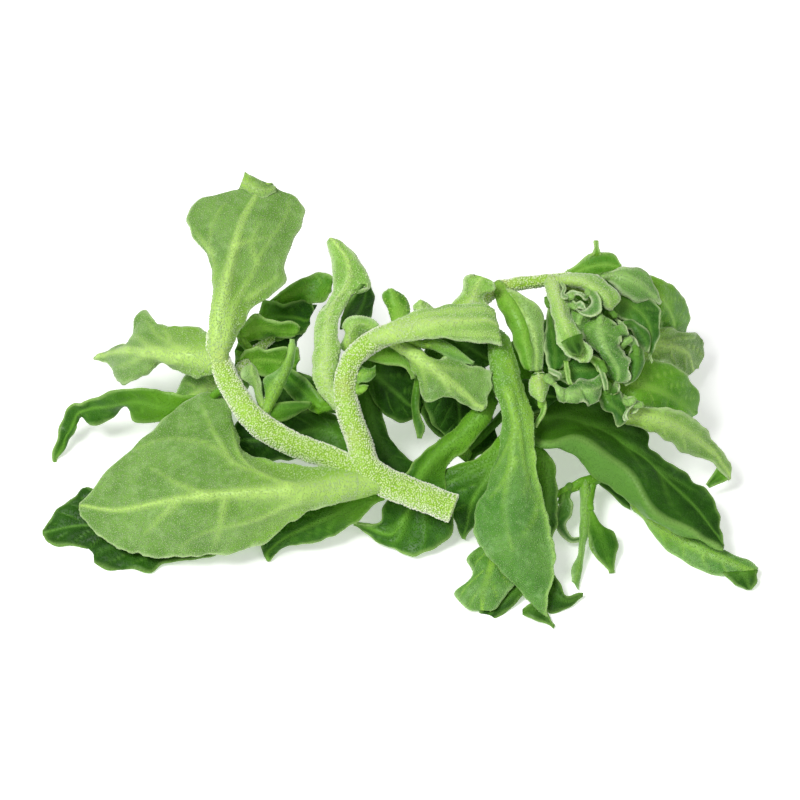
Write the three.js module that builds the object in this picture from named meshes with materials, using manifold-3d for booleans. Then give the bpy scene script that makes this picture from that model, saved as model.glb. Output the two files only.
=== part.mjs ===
// A cut sprig of ice plant lying face down in a loose heap: fleshy stems on top,
// broad wavy leaves around them and a frilly rosette at the right-hand end.
// Millimetres, +Z up, standing on z = 0.
import * as THREE from 'three';
import { mergeVertices } from 'three/addons/utils/BufferGeometryUtils.js';
import Module from 'manifold-3d';

// Driving dimensions
const GAP = 0.3; // clear distance where one leaf is trimmed round another
const BLADE = 0.9; // thickness of an ordinary leaf blade
const RIB_WIDTH = 2.0; // half width of the raised midrib
const TIP_WIDTH = 1.2; // narrowest a leaf gets, at its tip
const STALK = 1.1; // radius of the short stalks that join leaves to stems
const STALK_FOOT = 1.3; // radius of a stalk where it leaves its stem
const STALK_TIP = 0.8; // and inside the blade
const STALK_DEPTH = 2; // how far a stalk runs into its blade
const STALK_SAG = 0.5; // how far it hangs down midway
const STALK_STEPS = 3;
const STALK_SIDES = 4;
const STEM_SIDES = 7;
const CORE_SIDES = 5; // sides of the thin stems inside the leafy shoots
const TABLE = 400; // width of the ground that the lowest leaves are cut level on
const GLOSS = 0.4; // roughness of the moist skin
const SIDEWAYS = new THREE.Vector3(0.13, 0.31, 0.94).normalize(); // where the first side of a stem points
const FACING = new THREE.Vector3(0, -0.64, 0.77); // the side of the heap that is seen from above
// Steps along a blade, and across it between two of its lines
const LARGE = { along: 12, across: 2 };
const MEDIUM = { along: 8, across: 1 };
const SMALL = { along: 6, across: 1 };

// Colours seen in the photograph
const TINTS = {
  stem: '#b4c966',
  pale: '#9dba7c',
  bright: '#74a043',
  dark: '#456b2c',
  crown: '#86ab5e',
};

// Stems: a route and the radius along it
const stems = [
  {
    node: 'stem_main',
    route: [[14, -28.5, 14], [5.5, -25.5, 15.5], [-2.5, -23, 17.5], [-8, -20, 20], [-10, -14, 23.5],
      [-12.5, -8.5, 27], [-13.5, -4, 29.5]],
    radii: [3.6, 3.6, 3.7, 3.7, 3.4, 3.2, 2.8],
    steps: 10,
  },
  {
    node: 'stem_left',
    route: [[-9, -21, 18.5], [-17.5, -17.5, 21], [-27.5, -15, 24], [-36.5, -10.5, 27.5],
      [-42.5, -3, 31.5], [-46.5, 5, 36], [-47, 9, 38]],
    radii: [3.2, 3, 3, 3.2, 3, 2.8, 2.2],
    steps: 10,
  },
  {
    node: 'stem_arch',
    route: [[-13.5, -5.5, 29], [-13.5, -1, 32], [-11.5, 4, 35], [-6, 7.5, 38], [1, 9.5, 39.5],
      [8, 12, 38.5], [14.5, 16, 37.5], [21, 22, 37], [26.5, 26, 37.5], [34.5, 27.5, 38], [43, 28.5, 38],
      [52, 29, 37]],
    radii: [2.8, 2.7, 2.7, 2.7, 2.8, 2.7, 2.4, 2.1, 1.8, 1.6, 1.6, 1.4],
    steps: 15,
  },
  {
    node: 'stem_low',
    route: [[18.5, 21, 36], [24, 16, 30], [27.5, 7, 23], [33, 0, 18], [42, -2.5, 14], [52.5, -6.5, 11],
      [58.5, -9.5, 9]],
    radii: [1.8, 2, 2.2, 2.2, 2.2, 2, 1.6],
    steps: 9,
  },
];

// Leaves: each blade is lofted through lines drawn from its base to its tip, from the left
// edge to the right edge as seen from above. rib counts the line that carries the midrib,
// ridge is how far the rib stands out along the leaf, and root is where its stalk joins a stem.
// upper: true where the leaf shows its upper face and its rib is beneath.
const frontLeaves = [
  {
    node: 'leaf_front_left', tint: 'pale', grain: LARGE, thick: 1.2, ridge: [3, 2.6, 1.6, 0.8, 0.4, 0.1],
    lines: [
      [[-10.5, -28, 17], [-21, -31, 17], [-27.5, -32.5, 13.5], [-33.5, -35, 9], [-41, -37, 7],
        [-49, -37.5, 6], [-61.5, -37.5, 5], [-70.5, -34.5, 4.5], [-77, -30, 4.5], [-81, -25, 4.5],
        [-82.5, -21.5, 5]],
      [[-10.5, -25, 18], [-25, -29, 21.5], [-37.5, -30, 22], [-50, -29.5, 20], [-60.5, -28.5, 16],
        [-71.5, -26.5, 10.5], [-82.5, -20.5, 5]],
      [[-11, -19, 18], [-22.5, -19.5, 20], [-33.5, -18, 20], [-40.5, -13.5, 20], [-42.5, -7, 21],
        [-44.5, 0.5, 23], [-50, 2.5, 23], [-56.5, -1, 22], [-64, -7, 19], [-72.5, -12.5, 13],
        [-78, -17, 8.5], [-82.5, -19.5, 5]],
    ],
  },
  {
    node: 'leaf_hanging_front', tint: 'pale', grain: LARGE, thick: 1.1, root: [22, 17.5, 32.5],
    ridge: [2.6, 2.4, 2, 1.2, 0.8, 0.5, 0.2],
    lines: [
      [[24, 11, 33], [23.5, 2, 32], [25, -6.5, 29], [26.5, -12.5, 26], [24.5, -19, 21],
        [22, -24.5, 16.5], [19.5, -29, 12], [20, -35, 9], [24.5, -38.5, 7], [29, -43.5, 5.5],
        [35, -49, 4], [33, -51, 2], [31.5, -52.5, 0.3]],
      [[26.5, 9, 35], [27, -1, 34], [28.5, -9, 32], [30, -17, 27.5], [29.5, -24.5, 22.5],
        [29, -31.5, 17], [30.5, -38.5, 12], [33.5, -45, 7.5], [36, -50, 4.5], [36.5, -52.5, 2],
        [37.5, -55.5, 0.3]],
      [[29, 10, 33], [30.5, 2.5, 32], [32, -4, 30], [33, -11.5, 27], [34, -19.5, 22.5],
        [35.5, -25.5, 17.5], [38, -31.5, 13], [39.5, -37, 9.5], [39.5, -44, 6.5], [37.5, -49.5, 4.5],
        [38, -52.5, 2], [39.5, -56.5, 0.3]],
    ],
  },
  {
    node: 'leaf_under_cut', tint: 'bright', grain: LARGE, thick: 1, root: [27, 8, 24],
    ridge: [2.4, 2, 1, 0.4, 0.1],
    lines: [
      [[19.5, -4, 24], [13, -8.5, 20], [3.5, -13, 14], [-1.5, -18, 10.5], [-7, -23, 7.5],
        [-11, -26.5, 6], [-6, -30, 4.5], [-0.5, -33.5, 2]],
      [[21.5, -6.5, 25], [15, -11.5, 20.5], [7, -15, 15], [3, -20, 11], [1.5, -27, 7], [0.5, -34, 2]],
      [[23.5, -7.5, 23], [17.5, -13.5, 19], [11, -16, 14], [14, -20, 11], [16, -25.5, 8], [14, -30, 5],
        [9.5, -33.5, 3], [3, -34.5, 2]],
    ],
  },
  {
    node: 'leaf_under_front', tint: 'bright', grain: MEDIUM, upper: true, root: [-5, -22, 17],
    ridge: [1.6, 0.5, 0.1],
    lines: [
      [[-3.5, -24, 11.5], [-6, -24.5, 10.5], [-12, -29, 7], [-20, -32, 5], [-28, -32, 3],
        [-31.5, -33, 1.5], [-32.5, -35, 0.2]],
      [[-5, -22, 12], [-12.5, -26, 11], [-20.5, -29, 9], [-29, -31, 5], [-33.5, -33.5, 2],
        [-33, -35, 0.2]],
      [[-6.5, -19.5, 12], [-13.5, -21.5, 12], [-22.5, -24, 11], [-29, -27, 8], [-34.5, -31, 4],
        [-34.5, -32.5, 1.5], [-33.5, -35, 0.2]],
    ],
  },
  {
    node: 'leaf_under_arm', tint: 'dark', grain: MEDIUM, upper: true, root: [30.5, 2, 20],
    ridge: [1.8, 0.8, 0.2],
    lines: [
      [[26, -17, 17.5], [23.5, -22, 13], [21.5, -25, 9], [20, -27, 5], [17.5, -29, 1.5]],
      [[27, -13.5, 19], [23, -19, 14.5], [19.5, -22.5, 10], [18, -26, 6], [17, -29, 1.5]],
      [[26, -9.5, 20], [21.5, -13.5, 17], [15.5, -14.5, 14.5], [9, -15.5, 12], [4, -17, 10],
        [8, -20, 8.5], [13, -23.5, 6.5], [15, -26.5, 4], [16.5, -29, 1.5]],
    ],
  },
  {
    node: 'leaf_ring', tint: 'dark', grain: MEDIUM, upper: true, root: [-12, 2.5, 33],
    ridge: [1.4, 0.6, 0.2],
    lines: [
      [[-11, 8, 20.5], [-12.5, 0.5, 15.5], [-10.5, -7.5, 12.5], [-4, -14.5, 9], [3.5, -17, 7.5]],
      [[-7, 8.5, 22], [-7.5, 1, 18], [-5, -6, 14], [0, -12, 10.5], [5.5, -14, 8]],
      [[-2.5, 7, 21], [-4, 4, 18.5], [-3.5, -2, 15], [-0.5, -6.5, 12.5], [4, -10.5, 10.5],
        [8.5, -12.5, 8.5]],
    ],
  },
  {
    node: 'leaf_hanging_back', tint: 'bright', grain: MEDIUM, root: [35.5, -1, 17], ridge: [1.6, 0.5, 0.1],
    lines: [
      [[31.5, -8, 17], [32, -15, 13], [33.5, -22, 9], [34.5, -29.5, 6], [36, -34.5, 3]],
      [[33.5, -8.5, 18.5], [37, -14, 15], [38.5, -20, 11], [38, -27, 7], [36.5, -35, 3]],
      [[35, -10.5, 18], [39, -12.5, 16], [41, -17.5, 12], [41, -23, 8.5], [40.5, -29, 5.5], [37, -35, 3]],
    ],
  },
];

const leftLeaves = [
  {
    node: 'leaf_left', tint: 'pale', grain: LARGE, thick: 1, ridge: [2.2, 1.2, 0.4, 0.1],
    root: [-46.5, 4.5, 35.5],
    lines: [
      [[-47.5, 1, 32], [-52, 3.5, 28], [-57, 7, 27], [-61.5, 9, 26.5], [-65, 8.5, 23.5],
        [-70, 8.5, 19.5], [-74.5, 12, 17], [-76, 17, 16], [-80.5, 22.5, 13.5]],
      [[-47, 3.5, 35], [-55, 6, 33.5], [-63, 10, 30], [-70, 15, 25], [-75.5, 19, 19.5],
        [-80.5, 22.5, 14]],
      [[-48, 8, 35], [-47.5, 11, 35.5], [-52, 15.5, 34], [-57.5, 17.5, 32], [-62, 19, 30.5],
        [-65, 23.5, 30], [-67.5, 25.5, 28.5], [-68.5, 23, 26.5], [-70, 19.5, 24], [-75.5, 21.5, 18.5],
        [-80.5, 22.5, 14]],
    ],
  },
  {
    node: 'leaf_upright_left', tint: 'pale', grain: LARGE, thick: 1.1, ridge: [2.6, 2.4, 1.6, 0.8, 0.3],
    lines: [
      [[-48, 5, 36], [-47.5, 12.5, 40], [-47.5, 20, 43], [-49, 28.5, 46], [-53.5, 34.5, 48],
        [-55, 41, 49], [-52.5, 45.5, 50], [-46, 47, 51], [-41.5, 47.5, 52]],
      [[-46, 4.5, 37], [-45.5, 11, 41.5], [-44.5, 18.5, 45], [-43, 26, 48], [-41, 34.5, 50.5],
        [-38.5, 41, 52], [-35.5, 46.5, 53], [-34, 48, 53.5]],
      [[-43.5, 4.5, 36], [-40.5, 10.5, 38.5], [-37, 16, 41], [-33, 19, 42], [-29.5, 23, 43],
        [-29, 28, 45], [-27.5, 33, 46.5], [-25, 39, 48.5], [-24.5, 43, 49.5], [-27.5, 46, 51],
        [-33.5, 48.5, 53]],
    ],
  },
  {
    node: 'leaf_upright_left', part: 'tip_flap', tint: 'pale', grain: SMALL, upper: true, ridge: [0.2, 0.1],
    lines: [
      [[-42, 46, 51], [-40.5, 50.5, 53], [-39.5, 52.5, 53.5]],
      [[-38, 42.5, 52], [-36.5, 46, 55], [-35.5, 49.5, 55]],
      [[-33, 44, 52], [-32, 45.5, 54.5], [-33, 47.5, 54]],
    ],
  },
  {
    node: 'leaf_left_wavy', tint: 'bright', grain: LARGE, upper: true, root: [-43.5, -1, 31],
    ridge: [1.2, 0.4, 0.1],
    lines: [
      [[-52, 1.5, 14], [-59.5, 0.5, 14], [-65, 1, 13], [-69.5, 1.5, 12.5], [-71, 6, 13.5], [-74, 5.5, 11],
        [-77, 4, 9], [-81, 4.5, 8], [-83.5, 7, 7.5], [-85, 4.5, 4.5], [-88, 2, 2], [-90, -3.5, 0.2]],
      [[-51.5, 3.5, 17], [-60.5, 2, 17.5], [-68.5, 4.5, 17], [-75.5, 5, 14.5], [-83.5, 7, 10],
        [-87, 3.5, 5], [-90.5, -3, 0.2]],
      [[-51.5, 4, 20], [-60, 4.5, 20], [-64, 6, 21], [-70, 6.5, 20], [-75.5, 7, 18], [-82, 7.5, 14],
        [-86, 8.5, 11], [-89, 6.5, 7], [-90.5, 2, 4], [-91, -3, 0.2]],
    ],
  },
  {
    node: 'leaf_left_tucked', tint: 'pale', grain: SMALL, root: [-43.5, -1, 31], ridge: [1.4, 0.3],
    lines: [
      [[-43.5, 2, 20], [-48, 2, 16], [-52.5, 3, 13], [-57, 5.5, 10.5]],
      [[-44, 4, 24], [-49.5, 6.5, 20], [-54, 7, 16], [-57.5, 6.5, 12]],
      [[-44.5, 8.5, 26], [-50.5, 11, 23], [-56, 11.5, 19], [-58.5, 8, 15]],
    ],
  },
  {
    node: 'leaf_ground_left', tint: 'dark', grain: LARGE, upper: true, root: [-12, -21, 18],
    ridge: [1.2, 0.2],
    lines: [
      [[-37, -32, 3], [-51, -35.5, 2], [-60, -36.5, 0.8], [-64, -39, 0.2], [-68.5, -38, 0.2],
        [-73.5, -37.5, 0.2], [-78, -35.5, 0.2], [-79.5, -32, 0.2], [-83.5, -30, 0.2], [-88.5, -29.5, 0.2],
        [-92, -26, 0.2]],
      [[-35.5, -26.5, 4.5], [-53.5, -27.5, 3.5], [-69, -27, 3], [-81, -25, 2.5], [-92, -26, 0.4]],
      [[-38.5, -21, 6], [-54, -21, 6], [-69.5, -19, 5], [-77.5, -16, 5], [-82, -14.5, 4.5],
        [-84, -17, 3.5], [-87.5, -19, 3], [-90, -22, 2], [-92, -25.5, 0.6]],
    ],
  },
  {
    node: 'leaf_fleshy_upright', tint: 'pale', grain: LARGE, thick: 2, ridge: [2.6, 2.2, 1.8, 1.2, 0.5],
    lines: [
      [[-19.5, -5, 28], [-22, 0, 31], [-22, 8.5, 35], [-19.5, 18.5, 41], [-17, 24.5, 46],
        [-16.5, 27.5, 48], [-18.5, 29, 50]],
      [[-16.5, -5.5, 29.5], [-19, -1.5, 32.5], [-18.5, 6.5, 37], [-16.5, 16, 43], [-13.5, 22, 47],
        [-13.5, 26, 49], [-17, 30.5, 50.5]],
      [[-13.5, -4.5, 28.5], [-16, 0.5, 31], [-15.5, 6.5, 35], [-12.5, 16.5, 42], [-8.5, 20.5, 44.5],
        [-10, 26.5, 47], [-13.5, 30, 50], [-16.5, 31, 50.5]],
    ],
  },
  {
    node: 'leaf_fleshy_upright', part: 'inner_face', tint: 'dark', grain: SMALL, upper: true,
    ridge: [0.3, 0.1],
    lines: [
      [[-14.5, 10, 33.5], [-14.5, 17, 37], [-12, 20.5, 41], [-10, 21.5, 44]],
      [[-14, 13.5, 31], [-11, 19, 33], [-8.5, 21.5, 38], [-8.5, 22.5, 43.5]],
      [[-12.5, 17, 29], [-7.5, 20.5, 30], [-5.5, 23, 36], [-7, 24, 41.5]],
    ],
  },
  {
    node: 'leaf_stem_side', tint: 'bright', grain: SMALL, upper: true, root: [-14, -4, 27.5],
    ridge: [0.8, 0.2],
    lines: [
      [[-20.5, -4, 22], [-25.5, -1, 22.5], [-28.5, 2, 23], [-30.5, 5, 24]],
      [[-19.5, -3.5, 24], [-22.5, -0.5, 24.5], [-25.5, 2.5, 25], [-29, 6.5, 25.5]],
      [[-18.5, -2.5, 25], [-21, 1, 26], [-24, 4, 27], [-27.5, 7, 27], [-29, 9.5, 27]],
    ],
  },
  {
    node: 'leaf_well_left', tint: 'dark', grain: MEDIUM, upper: true, root: [-11, -12, 23],
    ridge: [0.8, 0.2],
    lines: [
      [[-12, -10.5, 12], [-19, -9.5, 11.5], [-27, -9.5, 10], [-35.5, -9, 9.5], [-39.5, -6.5, 11]],
      [[-12.5, -7, 15], [-20, -3.5, 15], [-27.5, -4.5, 14.5], [-38, -5, 13]],
      [[-14, -2.5, 18], [-20.5, 1, 18], [-28, 0, 18], [-35.5, -1, 17], [-39.5, -3.5, 15]],
    ],
  },
  {
    node: 'leaf_well_back', tint: 'dark', grain: SMALL, upper: true, root: [-13.5, -3.5, 28],
    ridge: [0.8, 0.1],
    lines: [
      [[-15, 3, 14], [-25.5, 3, 14], [-32, 3, 14.5], [-36.5, 3.5, 15.5]],
      [[-16, 5, 17], [-25.5, 6.5, 17.5], [-32, 7, 18], [-37, 8, 18.5]],
      [[-17.5, 7.5, 20], [-24, 10.5, 21], [-31, 11.5, 21.5], [-36.5, 12, 21.5]],
    ],
  },
];

// The small leafy shoots behind the left-hand stem
const leftShootLeaves = [
  {
    node: 'shoot_left_waves', part: 'wave_high', tint: 'bright', grain: MEDIUM, upper: true,
    ridge: [0.6, 0.1], root: [-38, 13, 26.5],
    lines: [
      [[-41, 15, 34], [-37, 19, 36], [-32, 17.5, 35], [-28, 19, 33], [-25.5, 21.5, 31], [-21.5, 27.5, 28]],
      [[-41, 14, 32], [-35.5, 16.5, 33], [-29.5, 17, 31], [-25, 21, 28], [-22, 25.5, 26]],
      [[-41, 13.5, 29], [-35.5, 14.5, 29], [-31, 14.5, 28], [-26.5, 18, 27], [-23.5, 22.5, 25]],
    ],
  },
  {
    node: 'shoot_left_waves', part: 'wave_low', tint: 'bright', grain: MEDIUM, upper: true,
    ridge: [0.6, 0.1], root: [-39, 10, 27],
    lines: [
      [[-41.5, 7.5, 30], [-39, 10, 31.5], [-33.5, 11, 31], [-29, 12, 29.5], [-26.5, 13.5, 28],
        [-25.5, 11, 26]],
      [[-41.5, 7.5, 28], [-36.5, 9, 28.5], [-30.5, 9.5, 27], [-26.5, 10, 25]],
      [[-41, 6.5, 26], [-35.5, 6, 25.5], [-30, 6.5, 24], [-26.5, 8, 22.5]],
    ],
  },
  {
    node: 'shoot_left_waves', part: 'wave_dark', tint: 'dark', grain: SMALL, upper: true,
    ridge: [0.6, 0.1], root: [-35, 17, 25.5],
    lines: [
      [[-36.5, 22, 30], [-35.5, 27, 31], [-31, 27, 31], [-26.5, 27.5, 30], [-22, 30, 28], [-21.5, 26.5, 26]],
      [[-36.5, 21, 28], [-32.5, 24.5, 28], [-26.5, 26, 27], [-22, 25, 25]],
      [[-35.5, 20, 26], [-30.5, 22, 25.5], [-26, 23, 25], [-22.5, 24, 24]],
    ],
  },
  {
    node: 'shoot_left_waves', part: 'bright_back', tint: 'bright', grain: SMALL, upper: true,
    ridge: [0.8, 0.2], root: [-33, 20, 25.5],
    lines: [
      [[-33.5, 30, 28], [-30.5, 32, 30], [-26, 34, 32], [-20.5, 35.5, 33], [-17, 34, 32]],
      [[-34, 30, 26], [-28.5, 31.5, 29], [-22.5, 32, 31], [-17.5, 32, 31]],
      [[-32.5, 29.5, 24], [-28.5, 30.5, 26], [-24.5, 29, 28], [-19.5, 29.5, 29], [-17.5, 31, 30]],
    ],
  },
  {
    node: 'shoot_left_waves', part: 'dark_back', tint: 'dark', grain: SMALL, upper: true,
    ridge: [0.6, 0.1], root: [-38, 12, 26.5],
    lines: [
      [[-42.5, 14.5, 26], [-39, 23.5, 27], [-33, 28.5, 27], [-26, 30.5, 26], [-22, 31.5, 24]],
      [[-41.5, 13, 23], [-35.5, 18.5, 24], [-30, 22, 24], [-24.5, 25.5, 23]],
      [[-40.5, 10.5, 20], [-34, 13.5, 20.5], [-28.5, 17.5, 21], [-25.5, 23, 21]],
    ],
  },
  {
    node: 'shoot_left_small', part: 'spoon', tint: 'pale', grain: SMALL, ridge: [0.8, 0.2],
    lines: [
      [[-35, -7, 26], [-37, -4.5, 29], [-39, -1.5, 32], [-40, 1, 33], [-38.5, 2, 34]],
      [[-34.5, -7.5, 27], [-35.5, -4.5, 30.5], [-36.5, -1, 33], [-37, 1, 34.5]],
      [[-33.5, -7, 26.5], [-34, -4, 30], [-34.5, -0.5, 32.5], [-36.5, 2, 34]],
    ],
  },
  {
    node: 'shoot_left_small', part: 'long', tint: 'pale', grain: MEDIUM, ridge: [1, 0.3],
    lines: [
      [[-34.5, -7, 26], [-34.5, -3.5, 29], [-34, 0, 32], [-31, 2, 34], [-28.5, 5, 36], [-27.5, 8, 38]],
      [[-33.5, -8, 27], [-32, -4.5, 30], [-30, -1, 33], [-28, 3.5, 35.5], [-27, 8, 38.5]],
      [[-32, -6.5, 26], [-29.5, -2.5, 28.5], [-27.5, 0.5, 31], [-27, 4, 34], [-26, 8, 37.5]],
    ],
  },
  {
    node: 'shoot_left_small', part: 'side', tint: 'bright', grain: SMALL, ridge: [0.8, 0.2],
    lines: [
      [[-35, -6, 26], [-31, -4.5, 27], [-26.5, -3.5, 27], [-22.5, -3, 26]],
      [[-34.5, -7.5, 25.5], [-30, -6, 26], [-25.5, -5, 26], [-22.5, -3.5, 25.5]],
      [[-33.5, -9, 24], [-29.5, -8, 24], [-25.5, -6, 24.5], [-22.5, -3.5, 25]],
    ],
  },
];

// Leaves on and beneath the arching stem
const archLeaves = [
  {
    node: 'leaf_flare', tint: 'pale', grain: LARGE, thick: 1.4, ridge: [1.6, 1, 0.4, 0.1],
    lines: [
      [[-2.5, 8, 42], [3.5, 12, 43.5], [8.5, 13.5, 44], [14.5, 15, 44], [20, 16, 44], [24.5, 14.5, 43],
        [25.5, 11.5, 42]],
      [[-1, 5.5, 42.5], [5.5, 6.5, 44.5], [12, 7.5, 45], [18.5, 8, 44.5], [22.5, 9, 43.5], [26, 9, 41.5]],
      [[0, 4, 41], [6, 3.5, 42.5], [11, 4.5, 42.5], [17, 4.5, 41], [22, 4.5, 40.5], [26, 5, 39.5]],
    ],
  },
  {
    node: 'leaf_flare', part: 'end_flap', tint: 'pale', grain: SMALL, ridge: [0.3, 0.1],
    lines: [
      [[14, 14, 43], [15.5, 17, 43], [16.5, 21, 44.5], [18.5, 23.5, 45]],
      [[17.5, 13.5, 43], [19, 18.5, 42.5], [20.5, 22, 43.5], [21.5, 24, 44]],
      [[21.5, 13.5, 43], [23.5, 18, 42], [25, 20.5, 42], [25.5, 23, 42.5]],
    ],
  },
  {
    node: 'leaf_arch_lower', tint: 'bright', grain: LARGE, thick: 1, root: [-1.5, 9, 38.5],
    ridge: [1.8, 1, 0.5, 0.2],
    lines: [
      [[1, 10, 36], [5, 7.5, 37], [8, 4.5, 37], [11.5, 2.5, 36.5], [14.5, 3.5, 36], [17.5, 2, 35.5],
        [20.5, 1.5, 34], [23.5, 1.5, 33]],
      [[0, 8, 36], [3, 3.5, 36.5], [7.5, -1.5, 35], [12.5, -4.5, 34], [18, -5.5, 32.5], [23.5, -4.5, 31]],
      [[-2, 9.5, 34], [1.5, 5.5, 34], [4, 1, 33], [5.5, -6.5, 31], [8, -7.5, 31], [12.5, -6, 31],
        [16.5, -7.5, 30], [19, -8.5, 28.5], [22, -8.5, 28]],
    ],
  },
  {
    node: 'leaf_arch_drop', tint: 'bright', grain: MEDIUM, root: [-7, 7.5, 37.5], ridge: [1.2, 0.4, 0.1],
    lines: [
      [[-3.5, 10.5, 34], [-0.5, 10, 32.5], [2.5, 8.5, 30], [4, 6, 28], [5, 1.5, 26], [5.5, -3.5, 23],
        [6.5, -7.5, 20]],
      [[-6, 9, 34], [-2, 8, 32.5], [1, 6, 30], [3.5, 3, 27.5], [4, -1.5, 24.5], [5.5, -8.5, 20]],
      [[-9, 7, 32.5], [-5, 5.5, 31], [-1, 5, 28], [2, 2, 25.5], [3.5, -1.5, 22.5], [5, -9, 20]],
    ],
  },
  {
    node: 'leaf_inner_back', tint: 'dark', grain: MEDIUM, upper: true, root: [-10.5, 5, 35.5],
    ridge: [0.8, 0.1],
    lines: [
      [[-8.5, 13, 30], [-3.5, 9.5, 28], [4.5, 10.5, 26], [7, 7.5, 22], [5.5, 3, 20]],
      [[-9.5, 11, 28], [-4.5, 6.5, 25], [0.5, 5, 22], [4.5, 3.5, 19]],
      [[-9, 9.5, 26], [-7, 6, 22], [-3.5, 4, 19], [1, 4, 17.5], [4, 3, 18]],
    ],
  },
  {
    node: 'leaf_inner_right', tint: 'dark', grain: MEDIUM, upper: true, root: [9, 12.5, 38],
    ridge: [0.8, 0.1],
    lines: [
      [[11, 13.5, 32], [16.5, 12, 31], [22, 12, 28], [23, 8, 24], [22.5, 3.5, 19]],
      [[9, 13, 30], [13.5, 7.5, 28], [17.5, 5, 23], [20.5, 1.5, 18]],
      [[6.5, 9.5, 28], [8, 4, 24], [10, 0, 19], [13, -3.5, 16], [17.5, -2, 15.5]],
    ],
  },
  {
    node: 'leaf_inner_top', tint: 'dark', grain: SMALL, upper: true, root: [13, 15, 37],
    ridge: [0.4, 0.1],
    lines: [
      [[18.5, 12.5, 34], [24, 12.5, 32], [26, 12, 29]],
      [[14.5, 11.5, 34], [20, 9.5, 31], [24.5, 8.5, 28]],
      [[11, 12.5, 34], [14.5, 7.5, 32], [21, 6, 28]],
    ],
  },
  {
    node: 'leaf_small_curled', tint: 'pale', grain: MEDIUM, root: [-10.5, 5.5, 35.5], ridge: [0.4, 0.1],
    lines: [
      [[-8.5, 13, 33], [-12, 12, 32], [-14.5, 12.5, 34], [-14, 14, 36], [-12.5, 15, 38], [-10.5, 15, 39],
        [-7, 14.5, 38], [-5.5, 13, 37]],
      [[-9.5, 10.5, 32], [-11, 10.5, 32], [-11.5, 11.5, 34], [-10.5, 12.5, 36], [-8.5, 12, 37],
        [-6, 12, 36]],
    ],
  },
  {
    node: 'leaf_finger', tint: 'pale', grain: SMALL, thick: 1.2, ridge: [1.2, 0.3],
    lines: [
      [[0, 12.5, 37], [-2, 17, 37], [-4, 20.5, 39], [-4, 22, 40], [-2, 22.5, 41]],
      [[1, 11.5, 38], [0, 16.5, 38.5], [-1, 20, 40], [-2, 22.5, 41]],
      [[2.5, 13, 37], [3, 19.5, 37], [1.5, 22, 39], [-1.5, 22.5, 41]],
    ],
  },
  {
    node: 'leaf_bump', tint: 'pale', grain: SMALL, thick: 1.1, ridge: [0.8, 0.2],
    lines: [
      [[6.5, 13.5, 39], [4, 17, 39], [4, 18, 40], [5.5, 18.5, 40.5]],
      [[8, 13, 39.5], [6, 16.5, 40], [6, 18, 41]],
      [[10.5, 13.5, 39], [9.5, 17, 39], [7.5, 18.5, 40], [6, 18.5, 40.5]],
    ],
  },
];

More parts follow.
